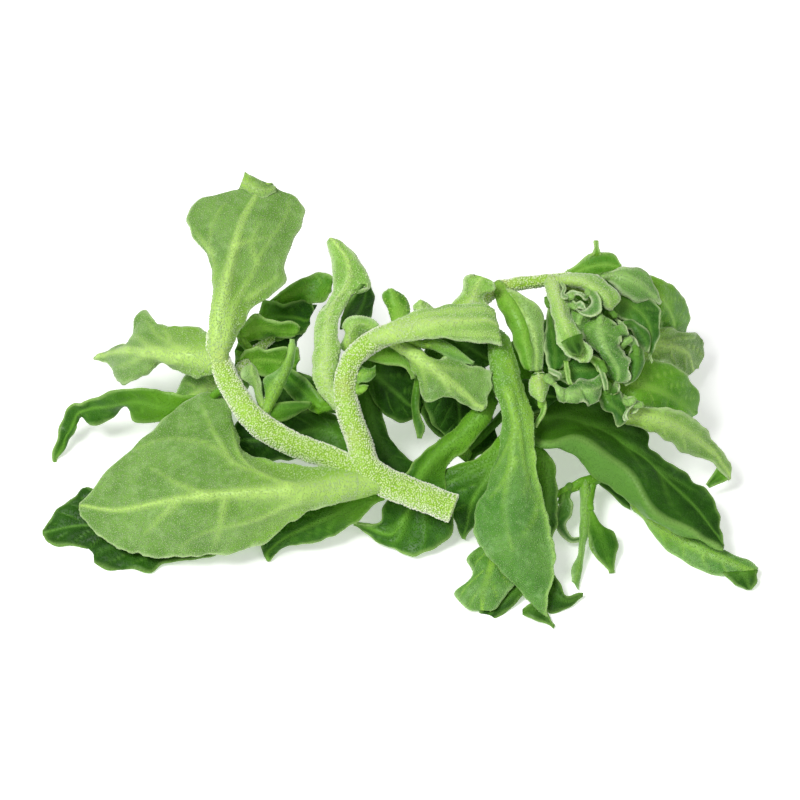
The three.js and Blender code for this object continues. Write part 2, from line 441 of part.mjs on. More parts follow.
// Low leaves in front, at the foot of the long hanging leaf
const lowLeaves = [
  {
    node: 'shoot_low', part: 'curled', tint: 'bright', grain: MEDIUM, upper: true, ridge: [1.4, 0.6, 0.1],
    lines: [
      [[30.5, -31, 7], [30.5, -38, 5], [29.5, -44, 4], [28, -47, 3], [26, -50, 2], [23, -51, 1]],
      [[28, -30, 7.5], [25, -36, 6.5], [23, -43.5, 6], [21.5, -48.5, 4], [21.5, -51, 1]],
      [[25.5, -30, 7], [21, -34, 6], [18.5, -36.5, 5.5], [17, -39, 5], [19, -42, 4.5], [15, -46, 3],
        [15, -48.5, 2], [18, -50.5, 1], [20.5, -50.5, 0.6]],
    ],
  },
  {
    node: 'shoot_low', part: 'dark', tint: 'dark', grain: SMALL, upper: true, root: [31, -38, 4],
    ridge: [0.6, 0.1],
    lines: [
      [[33, -46, 2.5], [29.5, -49.5, 1], [27, -51.5, 0.5], [24.5, -53, 0.3]],
      [[32, -43.5, 3], [28.5, -47.5, 2], [25, -50, 1], [23, -52, 0.5]],
      [[31, -41.5, 3], [26, -45, 1.5], [21.5, -48, 1], [20.5, -51.5, 0.6]],
    ],
  },
  {
    node: 'shoot_low', part: 'right', tint: 'dark', grain: SMALL, upper: true, root: [32, -38, 4],
    ridge: [1, 0.2],
    lines: [
      [[37.5, -39.5, 4], [40, -42.5, 4], [41.5, -45, 3.5], [42.5, -47.5, 2.5], [45, -47, 2], [47, -46, 1.5]],
      [[36, -41, 4], [38.5, -45, 3], [41, -48, 2], [43.5, -48.5, 1.5], [47, -46.5, 1]],
      [[34.5, -43, 3], [36.5, -48.5, 1.5], [38.5, -51.5, 0.4], [43, -50, 0.4], [47, -47, 1]],
    ],
  },
  {
    node: 'shoot_small', part: 'hook', tint: 'dark', grain: MEDIUM, rib: 0, ridge: [0.4, 0.1],
    root: [44.5, -16.5, 7.5],
    lines: [
      [[44.5, -19.5, 7], [45.5, -21.5, 6], [45, -23.5, 5], [43.5, -25.5, 4.5], [43.5, -27.5, 4],
        [45, -29, 3], [47.5, -28.5, 2]],
      [[43, -18.5, 6.5], [41, -22, 5.5], [40.5, -25.5, 4.5], [41.5, -28.5, 3.5], [44, -30.5, 2.5],
        [47, -30, 2]],
    ],
  },
  {
    node: 'shoot_small', part: 'ribbon', tint: 'bright', grain: SMALL, ridge: [0.6, 0.2],
    lines: [
      [[49.5, -15, 8], [50.5, -22, 6], [49.5, -28, 4], [48, -34, 3], [47, -39.5, 1.5], [46, -44.5, 0.6]],
      [[48.5, -15, 8.5], [48.5, -22.5, 6], [48, -28.5, 4.5], [47, -33.5, 3], [46, -39, 2], [45, -42.5, 1]],
      [[47, -14.5, 8], [47, -22, 6], [46.5, -28, 4], [46, -33.5, 3], [44.5, -39.5, 2], [44.5, -42, 1.5]],
    ],
  },
  {
    node: 'shoot_small', part: 'leaf', tint: 'bright', grain: MEDIUM, upper: true, ridge: [0.8, 0.2],
    root: [50.5, -14.5, 8],
    lines: [
      [[50.5, -20.5, 6], [53, -28.5, 4], [55, -29, 4], [56.5, -31.5, 3], [56, -36, 2], [55, -39.5, 0.5]],
      [[50, -20, 6.5], [52, -28.5, 5], [53, -33, 3.5], [55, -39.5, 0.5]],
      [[49, -19.5, 6.5], [49, -28, 5], [48.5, -31, 4], [48.5, -34.5, 3], [52, -36.5, 1.5], [55, -39.5, 0.5]],
    ],
  },
  {
    node: 'leaf_right_long', tint: 'dark', grain: { along: 14, across: 1 }, thick: 1, upper: true,
    root: [37, -1, 16], ridge: [1.6, 1, 0.4, 0.1],
    lines: [
      [[38, 1, 20], [46, 4, 20], [54, 2, 19], [61, -1.5, 17.5], [65, -5, 15.5], [65, -8.5, 14],
        [70, -12, 12.5], [76, -16, 10.5], [80.5, -20.5, 9.5], [82.5, -26, 8.5], [82.5, -30.5, 7.5],
        [83.5, -35, 6.5]],
      [[36.5, -4.5, 20], [44.5, -2.5, 18.5], [53.5, -5, 16], [62.5, -11, 13.5], [69.5, -17.5, 11],
        [76.5, -24.5, 9], [83, -35, 6.5]],
      [[35, -8, 20.5], [36, -12.5, 22], [39.5, -14.5, 22.5], [47.5, -11, 21.5], [54, -13.5, 19],
        [61, -18.5, 16], [63.5, -23, 13.5], [67, -28.5, 11.5], [74, -31.5, 9.5], [83, -36, 6.5]],
      [[36.5, -9, 18.5], [39, -12.5, 19], [42, -13.5, 18], [48, -15.5, 14], [54, -19, 11], [60, -23, 9],
        [65, -28, 8], [72.5, -31.5, 7], [82.5, -36, 6]],
    ],
  },
  {
    node: 'leaf_right_low', tint: 'pale', grain: MEDIUM, root: [58, -9.5, 8.5], ridge: [1.2, 0.5, 0.1],
    lines: [
      [[62.5, -19, 5.5], [65.5, -22, 5.5], [69.5, -26.5, 5.5], [75.5, -29.5, 4.5], [83, -33.5, 3],
        [89, -36.5, 3.5], [92, -39, 2.5]],
      [[62, -19, 3], [67.5, -25.5, 3.5], [76.5, -32.5, 3], [86, -38, 3], [91.5, -40, 2]],
      [[61.5, -19.5, 1], [64, -21.5, 0.6], [67.5, -29, 0.2], [74, -35.5, 0.2], [80.5, -39, 0.2],
        [86, -40.5, 1], [91.5, -40.5, 1.5]],
    ],
  },
  {
    node: 'leaf_right_low', part: 'tip_fold', tint: 'dark', grain: SMALL, upper: true, ridge: [0.1, 0.1],
    lines: [
      [[92, -39.5, 2.5], [91.5, -42, 1.5], [90, -44.5, 0.8]],
      [[88, -40, 2.5], [89, -42, 1.5], [89.5, -44.5, 0.8]],
      [[83, -39.5, 1.5], [85.5, -43, 1.2], [88.5, -44.5, 0.8]],
    ],
  },
  {
    node: 'leaf_right_under', tint: 'dark', grain: SMALL, upper: true, root: [52.5, -6.5, 10.5],
    ridge: [0.6, 0.1],
    lines: [
      [[52, -9, 6], [56, -11.5, 5], [59, -13, 3.5], [61, -15, 2]],
      [[52, -11, 5], [55.5, -13, 3.5], [58.5, -15, 2], [60.5, -16.5, 1.5]],
      [[52.5, -12.5, 3.5], [55.5, -14.5, 2], [58.5, -17.5, 1], [60.5, -18.5, 0.6]],
    ],
  },
];

// The right-hand shoot: its large outer leaves
const outerLeaves = [
  {
    node: 'leaf_crown_top', tint: 'bright', grain: SMALL, upper: true, ridge: [0.8, 0.2],
    lines: [
      [[42.5, 31.5, 36], [46.5, 34, 38], [50.5, 36, 39.5], [53.5, 36.5, 40], [56.5, 36, 39.5],
        [58.5, 33.5, 38.5]],
      [[42.5, 31, 35.5], [47.5, 32.5, 37], [53, 33.5, 38], [58.5, 33, 38]],
      [[43, 30.5, 35], [49, 31, 35.5], [54, 32, 36], [58, 32.5, 37]],
    ],
  },
  {
    node: 'leaf_crown_pale', tint: 'pale', grain: MEDIUM, root: [51.5, 29, 37], ridge: [0.8, 0.2],
    lines: [
      [[50.5, 29, 39.5], [56, 30, 40], [61.5, 30.5, 39.5], [66, 29.5, 38], [67.5, 27.5, 36], [68.5, 25, 34]],
      [[51, 28, 39], [55.5, 27.5, 39.5], [60.5, 26.5, 38.5], [64.5, 26, 36], [67.5, 25, 33.5]],
      [[51, 27.5, 37.5], [54, 25.5, 38], [57.5, 23, 37], [62.5, 23.5, 35], [66.5, 24.5, 33]],
    ],
  },
  {
    node: 'leaf_crown_side', tint: 'bright', grain: MEDIUM, upper: true, root: [55, 23.5, 33],
    ridge: [0.8, 0.2],
    lines: [
      [[63, 33.5, 34], [67.5, 34, 33], [73, 35, 28], [76.5, 35, 22], [78, 34.5, 16], [78, 35, 10]],
      [[63.5, 31.5, 33], [68, 29, 31.5], [71, 28.5, 27], [73, 28.5, 21], [74, 30, 14]],
      [[64.5, 29.5, 31], [67.5, 27.5, 28.5], [69, 26.5, 24], [70, 27, 19], [70.5, 26, 16]],
    ],
  },
  {
    node: 'leaf_side_pale', tint: 'pale', grain: MEDIUM, root: [55, 16, 30], ridge: [1, 0.2],
    lines: [
      [[62.5, 24, 23], [70.5, 26, 21.5], [76, 28.5, 17], [80.5, 32, 12], [82, 30, 8], [80, 26, 6]],
      [[62.5, 20.5, 21], [69, 22, 19.5], [76, 24, 14], [78.5, 22.5, 8]],
      [[63, 17.5, 18], [68.5, 18, 17], [73.5, 19, 13], [77, 20, 9]],
    ],
  },
  {
    node: 'leaf_side_bright', tint: 'bright', grain: LARGE, upper: true, root: [53, 7, 27.5],
    ridge: [1, 0.3],
    lines: [
      [[55.5, 6.5, 28], [61.5, 7.5, 29], [66.5, 9.5, 28], [71.5, 10, 25], [76.5, 9.5, 20], [79, 8.5, 15],
        [78.5, 4.5, 12.5]],
      [[55, 3.5, 27], [61, 1.5, 27.5], [68, 1.5, 24.5], [73.5, 2, 19], [77.5, 3, 13]],
      [[55.5, 0, 24], [60.5, -3.5, 24.5], [65.5, -2.5, 22.5], [71, -0.5, 19], [76, 1, 14.5]],
    ],
  },
  {
    node: 'leaf_side_long', tint: 'bright', grain: MEDIUM, root: [52, 4.5, 26], ridge: [1.2, 0.5, 0.1],
    lines: [
      [[57.5, -4, 26], [64, -4.5, 26], [69, -5, 25.5], [75.5, -5, 22], [80.5, -7, 17], [85.5, -9, 11],
        [87, -12.5, 6]],
      [[57.5, -6.5, 25], [64.5, -7.5, 24.5], [72, -6.5, 21], [78.5, -8, 15.5], [83, -9.5, 10],
        [86.5, -12, 5.5]],
      [[58.5, -7, 22], [65, -8.5, 21], [73.5, -9, 16], [81.5, -10, 10], [80.5, -14.5, 6], [86, -12.5, 5]],
    ],
  },
];

// The frilly heart of the right-hand shoot
const heartLeaves = [
  {
    node: 'rosette_heart', part: 'dark', tint: 'dark', grain: MEDIUM, upper: true, root: [55, 18, 31],
    ridge: [0.4, 0.1],
    lines: [
      [[53.5, 22, 37], [57.5, 21.5, 38], [62.5, 21, 38], [66, 21, 37], [68.5, 18, 34], [67.5, 13, 31],
        [65.5, 8.5, 28]],
      [[54, 20.5, 36], [58.5, 20, 36.5], [63.5, 18.5, 35], [65.5, 15, 32], [65, 9.5, 28]],
      [[55, 19.5, 34], [59, 18.5, 34], [62.5, 16, 33], [63.5, 13, 31], [63.5, 10.5, 28.5]],
    ],
  },
  {
    node: 'rosette_heart', part: 'pale_rim', tint: 'crown', grain: SMALL, upper: true, root: [55, 17, 30.5],
    ridge: [0.4, 0.1],
    lines: [
      [[52, 18, 38], [55.5, 15, 38.5], [60, 14.5, 38], [63, 13.5, 36.5], [65, 10.5, 34.5], [65, 8.5, 32]],
      [[52, 16.5, 37], [55.5, 14, 37], [59.5, 12.5, 36], [62, 10.5, 33.5], [63.5, 8.5, 31.5]],
      [[53, 16.5, 35], [55.5, 13.5, 34.5], [58.5, 11, 33], [61, 9, 31.5], [62.5, 8, 30.5]],
    ],
  },
  {
    node: 'rosette_heart', part: 'frill', tint: 'crown', grain: MEDIUM, root: [54, 13, 29.5],
    ridge: [0.4, 0.1],
    lines: [
      [[48.5, 7.5, 42], [50, 10, 43], [53, 11, 43], [57, 9.5, 42], [58.5, 8, 40.5], [57, 6.5, 40],
        [58, 5, 38.5], [59.5, 5, 37.5], [59, 2, 36.5], [59, -0.5, 34]],
      [[49, 4.5, 42], [52, 6, 42], [54.5, 4.5, 40.5], [55.5, 2, 38.5], [56, -0.5, 36.5], [56.5, -3, 34]],
      [[48.5, 4.5, 40], [50, 2.5, 39], [52, 0.5, 37.5], [53.5, -2.5, 36], [54.5, -4.5, 34],
        [53, -6.5, 32]],
    ],
  },
  {
    node: 'rosette_heart', part: 'lobe', tint: 'crown', grain: SMALL, upper: true, root: [54, 11, 28.5],
    ridge: [0.4, 0.1],
    lines: [
      [[56.5, 8, 38], [59, 9, 38.5], [61, 7.5, 37], [63, 6.5, 35.5], [63, 2.5, 33.5], [61, -1, 32],
        [58.5, -2.5, 31]],
      [[56.5, 6.5, 37], [59, 5.5, 36.5], [60.5, 3, 34.5], [59.5, 0, 32.5], [57, -2.5, 31]],
      [[56, 4.5, 35], [57.5, 2, 34], [57.5, -0.5, 32.5], [55.5, -3.5, 31]],
    ],
  },
  {
    node: 'rosette_heart', part: 'under', tint: 'crown', grain: MEDIUM, root: [53, 8, 28], ridge: [0.4, 0.1],
    lines: [
      [[43, 2, 34], [44.5, 2, 35], [47.5, 1.5, 35], [50.5, 0.5, 34.5], [53, -2, 33.5], [52, -5, 32]],
      [[41, 0, 34], [43, -3, 34], [46.5, -4, 33.5], [49.5, -4.5, 32.5], [51, -6, 31.5]],
      [[38, 1, 33], [40, -3.5, 33], [43, -7, 32], [45.5, -8, 31.5], [49, -7.5, 31], [51, -6, 31]],
    ],
  },
  {
    node: 'rosette_heart', part: 'low', tint: 'dark', grain: SMALL, upper: true, root: [52, 4.5, 26],
    ridge: [0.4, 0.1],
    lines: [
      [[55, 0.5, 31], [57, -3, 30.5], [59, -6, 29.5], [59.5, -9.5, 28], [57.5, -11.5, 27]],
      [[53.5, -0.5, 31], [54.5, -4.5, 30], [55.5, -8, 28.5], [56.5, -11.5, 27]],
      [[52, -0.5, 30], [51, -5, 29.5], [51.5, -8, 28.5], [53.5, -9, 27.5], [55.5, -10.5, 27]],
    ],
  },
  {
    node: 'rosette_heart', part: 'hang', tint: 'pale', grain: MEDIUM, root: [54.5, 25, 34.5],
    ridge: [1.2, 0.4, 0.1],
    lines: [
      [[39, 26, 39], [42, 24.5, 40.5], [43.5, 18.5, 41], [44.5, 12.5, 41], [47.5, 7, 40], [49.5, 3.5, 38.5],
        [48.5, 0, 37]],
      [[38.5, 26, 39], [40.5, 20.5, 39.5], [41.5, 13.5, 39.5], [44, 7.5, 38.5], [46.5, 4, 37.5],
        [46.5, 0, 37]],
      [[37.5, 26, 38.5], [38.5, 21, 37.5], [39.5, 13.5, 36.5], [41, 8.5, 36], [43, 4.5, 36.5],
        [45.5, 1, 37]],
    ],
  },
  {
    node: 'rosette_heart', part: 'hang_inner', tint: 'dark', grain: SMALL, upper: true, root: [55, 20, 31.5],
    ridge: [0.4, 0.1],
    lines: [
      [[38.5, 25, 34], [41, 17.5, 34.5], [43.5, 9, 34.5], [46.5, 3.5, 34]],
      [[38.5, 21, 32.5], [39.5, 12.5, 32.5], [41.5, 6.5, 33], [44.5, 2.5, 33.5]],
      [[38, 17, 31], [38, 9.5, 31], [39, 3, 32], [41.5, 0.5, 32.5]],
    ],
  },
  {
    node: 'rosette_heart', part: 'curl_high', tint: 'crown', grain: SMALL, root: [55, 21, 32],
    ridge: [0.3, 0.1],
    lines: [
      [[42.5, 21, 42], [45, 21, 43], [49, 19.5, 44], [51.5, 17.5, 43.5], [52, 15, 42.5], [50, 13, 42]],
      [[43.5, 18.5, 42], [46, 18, 43], [48.5, 16.5, 43.5], [49.5, 14.5, 43], [48, 13.5, 42]],
      [[44, 16.5, 41], [46, 16, 41.5], [47, 14, 42], [45.5, 13.5, 41.5]],
    ],
  },
  {
    node: 'rosette_heart', part: 'curl_low', tint: 'crown', grain: SMALL, root: [54.5, 17, 30.5],
    ridge: [0.3, 0.1],
    lines: [
      [[44, 11.5, 42], [43.5, 14, 43], [45.5, 12, 43.5], [48, 11, 43.5], [49.5, 12.5, 43]],
      [[45.5, 9, 42], [46, 10.5, 42.5], [47.5, 9, 43], [49.5, 9.5, 42.5]],
      [[47.5, 6, 41.5], [48, 6.5, 42], [49, 7.5, 42], [50.5, 8.5, 41.5]],
    ],
  },
  {
    node: 'rosette_heart', part: 'crown', tint: 'crown', grain: SMALL, root: [54.5, 25.5, 34.5],
    ridge: [0.3, 0.1],
    lines: [
      [[51.5, 24.5, 41], [54, 23.5, 42], [56.5, 21.5, 41.5], [57, 19, 40.5], [55, 16, 39.5]],
      [[50, 22, 41], [52, 20, 41.5], [53.5, 18, 41], [53.5, 15.5, 40]],
      [[49, 20, 40], [50.5, 18, 40], [51.5, 16, 40], [51.5, 13.5, 39.5]],
    ],
  },
  {
    node: 'rosette_heart', part: 'fill', tint: 'dark', grain: SMALL, upper: true, root: [55, 18, 31],
    ridge: [0.3, 0.1],
    lines: [
      [[43.5, 15, 37], [48, 12.5, 38], [53.5, 10, 37], [57, 6.5, 35], [58, 1, 32]],
      [[42, 10, 35], [47, 7.5, 36], [50.5, 4.5, 34.5], [53, 1, 32]],
      [[40.5, 6, 32], [44, 3.5, 33], [48, 1, 32], [50.5, -2, 30]],
    ],
  },
];

// Strap-like leaves hanging from the thin end of the arching stem
const strapLeaves = [
  {
    node: 'leaf_strap_left', tint: 'bright', grain: MEDIUM, thick: 1, rib: 0, ridge: [1.2, 0.4, 0.1],
    lines: [
      [[26, 26, 36], [28.5, 24.5, 37.5], [31.5, 18, 37], [34, 12, 35], [36, 7.5, 33], [37.5, 3.5, 31]],
      [[26, 24, 36], [28.5, 20, 36.5], [30.5, 13, 35.5], [32, 8, 33.5], [33.5, 3.5, 31]],
    ],
  },
  {
    node: 'leaf_strap_left', part: 'cup', tint: 'pale', grain: SMALL, root: [36, 5, 31.5], ridge: [0.3, 0.1],
    lines: [
      [[38, -0.5, 33], [38.5, -3, 32.5], [38, -5, 31.5], [37, -7.5, 30.5]],
      [[35.5, -2, 32], [35.5, -4, 31.5], [36.5, -7, 30.5]],
      [[34, -1.5, 33], [32.5, -2.5, 32.5], [33.5, -5, 31.5], [36.5, -7, 30.5]],
    ],
  },
  {
    node: 'leaf_strap_left', part: 'sliver', tint: 'bright', grain: SMALL, rib: 0, root: [36, -4, 31.5],
    ridge: [0.3, 0.1],
    lines: [
      [[36.5, -3.5, 28], [37, -5.5, 26.5], [37, -7.5, 25], [35.5, -9, 23.5]],
      [[35.5, -4, 27.5], [35.5, -6, 26], [35, -8.5, 23.5]],
    ],
  },
  {
    node: 'leaf_strap_right', tint: 'bright', grain: MEDIUM, thick: 1, rib: 0, ridge: [1, 0.4, 0.1],
    lines: [
      [[29.5, 25.5, 38.5], [32, 24, 39], [35.5, 20, 39], [38, 15, 38], [38, 9.5, 34.5], [38, 3.5, 32]],
      [[29, 25, 38], [30.5, 21.5, 38.5], [32.5, 16.5, 38], [35, 13.5, 36.5], [36, 8.5, 34.5],
        [37, 4, 33]],
    ],
  },
  {
    node: 'leaf_back_right', tint: 'dark', grain: MEDIUM, upper: true, root: [25.5, 12.5, 27.5],
    ridge: [0.8, 0.1],
    lines: [
      [[28.5, 19, 23], [33.5, 21.5, 25], [39.5, 25.5, 26], [46, 28.5, 26]],
      [[30.5, 14.5, 20], [36, 17.5, 21], [42, 18.5, 22], [47, 20.5, 21]],
      [[33, 10.5, 15.5], [37.5, 11, 15.5], [42.5, 9.5, 15], [46, 9, 14.5]],
    ],
  },
  {
    node: 'leaf_back_low', tint: 'dark', grain: SMALL, upper: true, root: [28, 6, 23], ridge: [0.6, 0.1],
    lines: [
      [[30.5, 3, 25.5], [34, 5, 26], [42, 2.5, 25.5], [48.5, -0.5, 25]],
      [[31, -1, 24], [35.5, 0, 24.5], [42, -0.5, 24.5]],
      [[32, -5, 22.5], [34.5, -4.5, 22.5], [38, -3.5, 23]],
    ],
  },
];

// Leaves underneath and behind that reach down to the table
const footLeaves = [
  {
    node: 'leaf_foot_right', tint: 'bright', grain: MEDIUM, thick: 1, root: [54, 13, 29],
    ridge: [1.6, 0.6, 0.2],
    lines: [
      [[51.5, 17, 24], [53.5, 24, 18], [58, 33.5, 10], [62.5, 43, 3], [64, 48.5, -0.4]],
      [[54.5, 14.5, 26], [57.5, 23, 18], [63, 33.5, 11], [67.5, 43, 3.5], [69, 48.5, -0.4]],
      [[57.5, 15.5, 24], [62, 22, 18], [67.5, 32.5, 10], [72.5, 41.5, 3], [74, 47, -0.4]],
    ],
  },
  {
    node: 'leaf_foot_behind', tint: 'bright', grain: MEDIUM, thick: 1, root: [55, 20, 31.5],
    ridge: [1.6, 0.6, 0.2],
    lines: [
      [[50, 23.5, 27], [48, 31, 19], [46, 40.5, 10], [47, 49, 3], [50, 54, -0.4]],
      [[54, 22.5, 29], [54.5, 31, 20.5], [54.5, 42, 11], [54.5, 51, 3.5], [54.5, 56.5, -0.4]],
      [[56.5, 23.5, 27], [60, 30.5, 19], [62, 40, 10], [61.5, 49.5, 3], [59.5, 55.5, -0.4]],
    ],
  },
  {
    node: 'leaf_foot_centre', tint: 'bright', grain: MEDIUM, thick: 1, root: [15.5, 17, 37.5],
    ridge: [1.6, 0.6, 0.2],
    lines: [
      [[19.5, 19.5, 34], [21.5, 21, 24], [24, 25, 13], [23.5, 30, 4], [21.5, 33, -0.4]],
      [[16.5, 18, 36], [17, 22, 24], [17.5, 26, 13], [18.5, 30, 4], [18.5, 32.5, -0.4]],
      [[13.5, 18.5, 34], [12, 20.5, 24], [11, 25, 13], [13, 30, 4], [15, 32.5, -0.4]],
    ],
  },
  {
    node: 'leaf_foot_left', tint: 'bright', grain: MEDIUM, thick: 1, root: [-42, -2.5, 31],
    ridge: [1.6, 0.6, 0.2],
    lines: [
      [[-42.5, 6, 27], [-40.5, 20.5, 18], [-38, 32.5, 10], [-35, 41.5, 4], [-31.5, 44, -0.4]],
      [[-42, 2.5, 27], [-38.5, 16, 17], [-35, 27, 9], [-32, 34, 3.5], [-30, 36.5, -0.4]],
      [[-41, 1, 25], [-37.5, 11.5, 16], [-33, 21.5, 8], [-29.5, 28.5, 3], [-28.5, 32.5, -0.4]],
    ],
  },
  {
    node: 'leaf_foot_side', tint: 'bright', grain: MEDIUM, thick: 1, root: [-46, 3.5, 34.5],
    ridge: [1.4, 0.5, 0.2],
    lines: [
      [[-45, 6.5, 28], [-50.5, 17.5, 18], [-55.5, 25.5, 10], [-59.5, 30.5, 4], [-61.5, 33.5, -0.2]],
      [[-45.5, 7.5, 30], [-51.5, 19, 20], [-57.5, 28, 11], [-62, 35, 4], [-63, 37, -0.2]],
      [[-46, 10, 31], [-52, 21.5, 22], [-58.5, 31.5, 12], [-63, 39.5, 4], [-65, 41.5, -0.4]],
    ],
  },
];

// Short stems that belong to a shoot of small leaves
const shootStems = [
  {
    node: 'shoot_left_small',
    route: [[-37, -10, 27.5], [-34.5, -7.5, 26.5], [-33.5, -5, 28.5]],
    radii: [1.5, 1.5, 1.1],
    steps: 3,
    sides: CORE_SIDES,
  },
  {
    node: 'shoot_left_waves',
    route: [[-42.5, -1.5, 31], [-39, 10, 27.5], [-34, 18, 25.5], [-28, 25, 24.5]],
    radii: [1.6, 1.5, 1.2, 0.9],
    steps: 6,
    sides: CORE_SIDES,
  },
  {
    node: 'shoot_low',
    route: [[33, -1, 17.5], [30.5, -14, 11], [29.5, -28, 7], [31, -37, 4.5]],
    radii: [1.5, 1.4, 1.3, 1.1],
    steps: 6,
    sides: CORE_SIDES,
  },
  {
    node: 'shoot_small',
    route: [[56.5, -8.5, 9.5], [52.5, -13.5, 8.5], [46, -16, 7.5], [41.5, -18, 6.5]],
    radii: [1.3, 1.3, 1.2, 1],
    steps: 6,
    sides: CORE_SIDES,
  },
  {
    node: 'rosette_heart',
    route: [[51.5, 29, 37], [54.5, 26, 34.5], [55, 19, 31], [53.5, 10.5, 28.5], [52, 4, 26]],
    radii: [1.4, 1.8, 2.2, 2.2, 1.6],
    steps: 6,
    sides: CORE_SIDES,
  },
];

// A smooth curve through points, read at a share from 0 to 1 of its length
function curveThrough(points) {
  const stations = points.map((point) => new THREE.Vector3(...point));
  return new THREE.CatmullRomCurve3(stations, false, 'catmullrom', 0.5);
}

// A value read from a short list spread evenly over 0 to 1
function valueAt(list, share) {
  const place = share * (list.length - 1);
  const low = Math.min(Math.floor(place), list.length - 2);
  const rest = place - low;
  return list[low] * (1 - rest) + list[low + 1] * rest;
}

// Rows of points across the blade, from base to tip, edge to edge
function bladeGrid(leaf) {
  const curves = leaf.lines.map(curveThrough);
  const columns = (leaf.lines.length - 1) * leaf.grain.across;
  const rows = [];
  for (let i = 0; i <= leaf.grain.along; i += 1) {
    const share = i / leaf.grain.along;
    const across = curveThrough(curves.map((curve) => curve.getPointAt(share).toArray()));
    rows.push(Array.from({ length: columns + 1 }, (_, j) => across.getPoint(j / columns)));
  }
  return keepTipWidth(rows);
}

// Spreads the rows that come to a point, so that the tip stays as wide as TIP_WIDTH
function keepTipWidth(rows) {
  let direction = new THREE.Vector3();
  for (const row of rows) {
    const last = row.length - 1;
    const span = row[last].clone().sub(row[0]);
    if (span.length() >= TIP_WIDTH) {
      direction = span.normalize();
    } else {
      const middle = row[0].clone().add(row[last]).multiplyScalar(0.5);
      row.forEach((point, j) => {
        point.copy(middle).addScaledVector(direction, (j / last - 0.5) * TIP_WIDTH);
      });
    }
  }
  return rows;
}

// Pushes the border of a blade outwards in its own surface
function spreadBorder(rows, distance) {
  const shift = (point, inner) => {
    point.addScaledVector(point.clone().sub(inner).normalize(), distance);
  };
  rows.forEach((row) => {
    shift(row[0], row[1]);
    shift(row.at(-1), row.at(-2));
  });
  rows[0].forEach((point, j) => shift(point, rows[1][j]));
  rows.at(-1).forEach((point, j) => shift(point, rows.at(-2)[j]));
}

// The direction square to the blade at each point of the grid
function bladeNormals(rows) {
  const n = rows.length - 1;
  const m = rows[0].length - 1;
  return rows.map((row, i) => row.map((_, j) => {
    const along = rows[Math.min(i + 1, n)][j].clone().sub(rows[Math.max(i - 1, 0)][j]);
    const across = row[Math.min(j + 1, m)].clone().sub(row[Math.max(j - 1, 0)]);
    return across.cross(along).normalize();
  }));
}

// Distance of every point of a row from the midrib
function ribDistances(row, ribColumn) {
  return row.map((point, j) => {
    let sum = 0;
    for (let k = Math.min(j, ribColumn); k < Math.max(j, ribColumn); k += 1) {
      sum += row[k].distanceTo(row[k + 1]);
    }
    return sum;
  });
}

// One closed blade: an upper and a lower face on the same grid and a rim round them.
// grow makes it thicker all round, for trimming its neighbours.
function bladeGeometry(leaf, grow = 0) {
  const rows = bladeGrid(leaf);
  const normals = bladeNormals(rows);
  const middle = normals.flat().reduce((sum, n) => sum.add(n), new THREE.Vector3());
  const sign = middle.dot(FACING) < 0 ? -1 : 1;
  if (grow > 0) spreadBorder(rows, grow);
  const ribColumn = (leaf.rib ?? 1) * leaf.grain.across;
  const thick = leaf.thick ?? BLADE;
  const top = [];
  const bottom = [];
  rows.forEach((row, i) => {
    const distances = ribDistances(row, ribColumn);
    const ridge = valueAt(leaf.ridge, i / leaf.grain.along);
    row.forEach((point, j) => {
      const rib = ridge * Math.exp(-((distances[j] / RIB_WIDTH) ** 2));
      const up = thick / 2 + grow + (leaf.upper ? 0 : rib);
      const down = thick / 2 + grow + (leaf.upper ? rib : 0);
      top.push(point.clone().addScaledVector(normals[i][j], sign * up));
      bottom.push(point.clone().addScaledVector(normals[i][j], -sign * down));
    });
  });
  return closedSheet(top, bottom, rows.length, rows[0].length, sign > 0);
}

// Numbers of the points round the border of a grid, in order
function borderOf(rowCount, columnCount) {
  const columns = [...Array(columnCount - 1).keys()];
  const rows = [...Array(rowCount - 1).keys()];
  return [
    ...columns,
    ...rows.map((i) => i * columnCount + columnCount - 1),
    ...columns.map((j) => rowCount * columnCount - 1 - j),
    ...rows.map((i) => (rowCount - 1 - i) * columnCount),
  ];
}

// Joins two matching grids of points into one closed skin
function closedSheet(top, bottom, rowCount, columnCount, facingUp) {
  const points = [...top, ...bottom];
  const half = top.length;
  const index = [];
  const triangle = (a, b, c) => index.push(...(facingUp ? [a, b, c] : [a, c, b]));
  for (let i = 0; i < rowCount - 1; i += 1) {
    for (let j = 0; j < columnCount - 1; j += 1) {
      const a = i * columnCount + j;
      const b = a + 1;
      const c = b + columnCount;
      const d = a + columnCount;
      triangle(a, b, c);
      triangle(a, c, d);
      triangle(a + half, c + half, b + half);
      triangle(a + half, d + half, c + half);
    }
  }
  const border = borderOf(rowCount, columnCount);
  border.forEach((a, k) => {
    const b = border[(k + 1) % border.length];
    triangle(b, a, a + half);
    triangle(b, a + half, b + half);
  });
  const geometry = new THREE.BufferGeometry().setFromPoints(points);
  geometry.setIndex(index);
  return geometry;
}

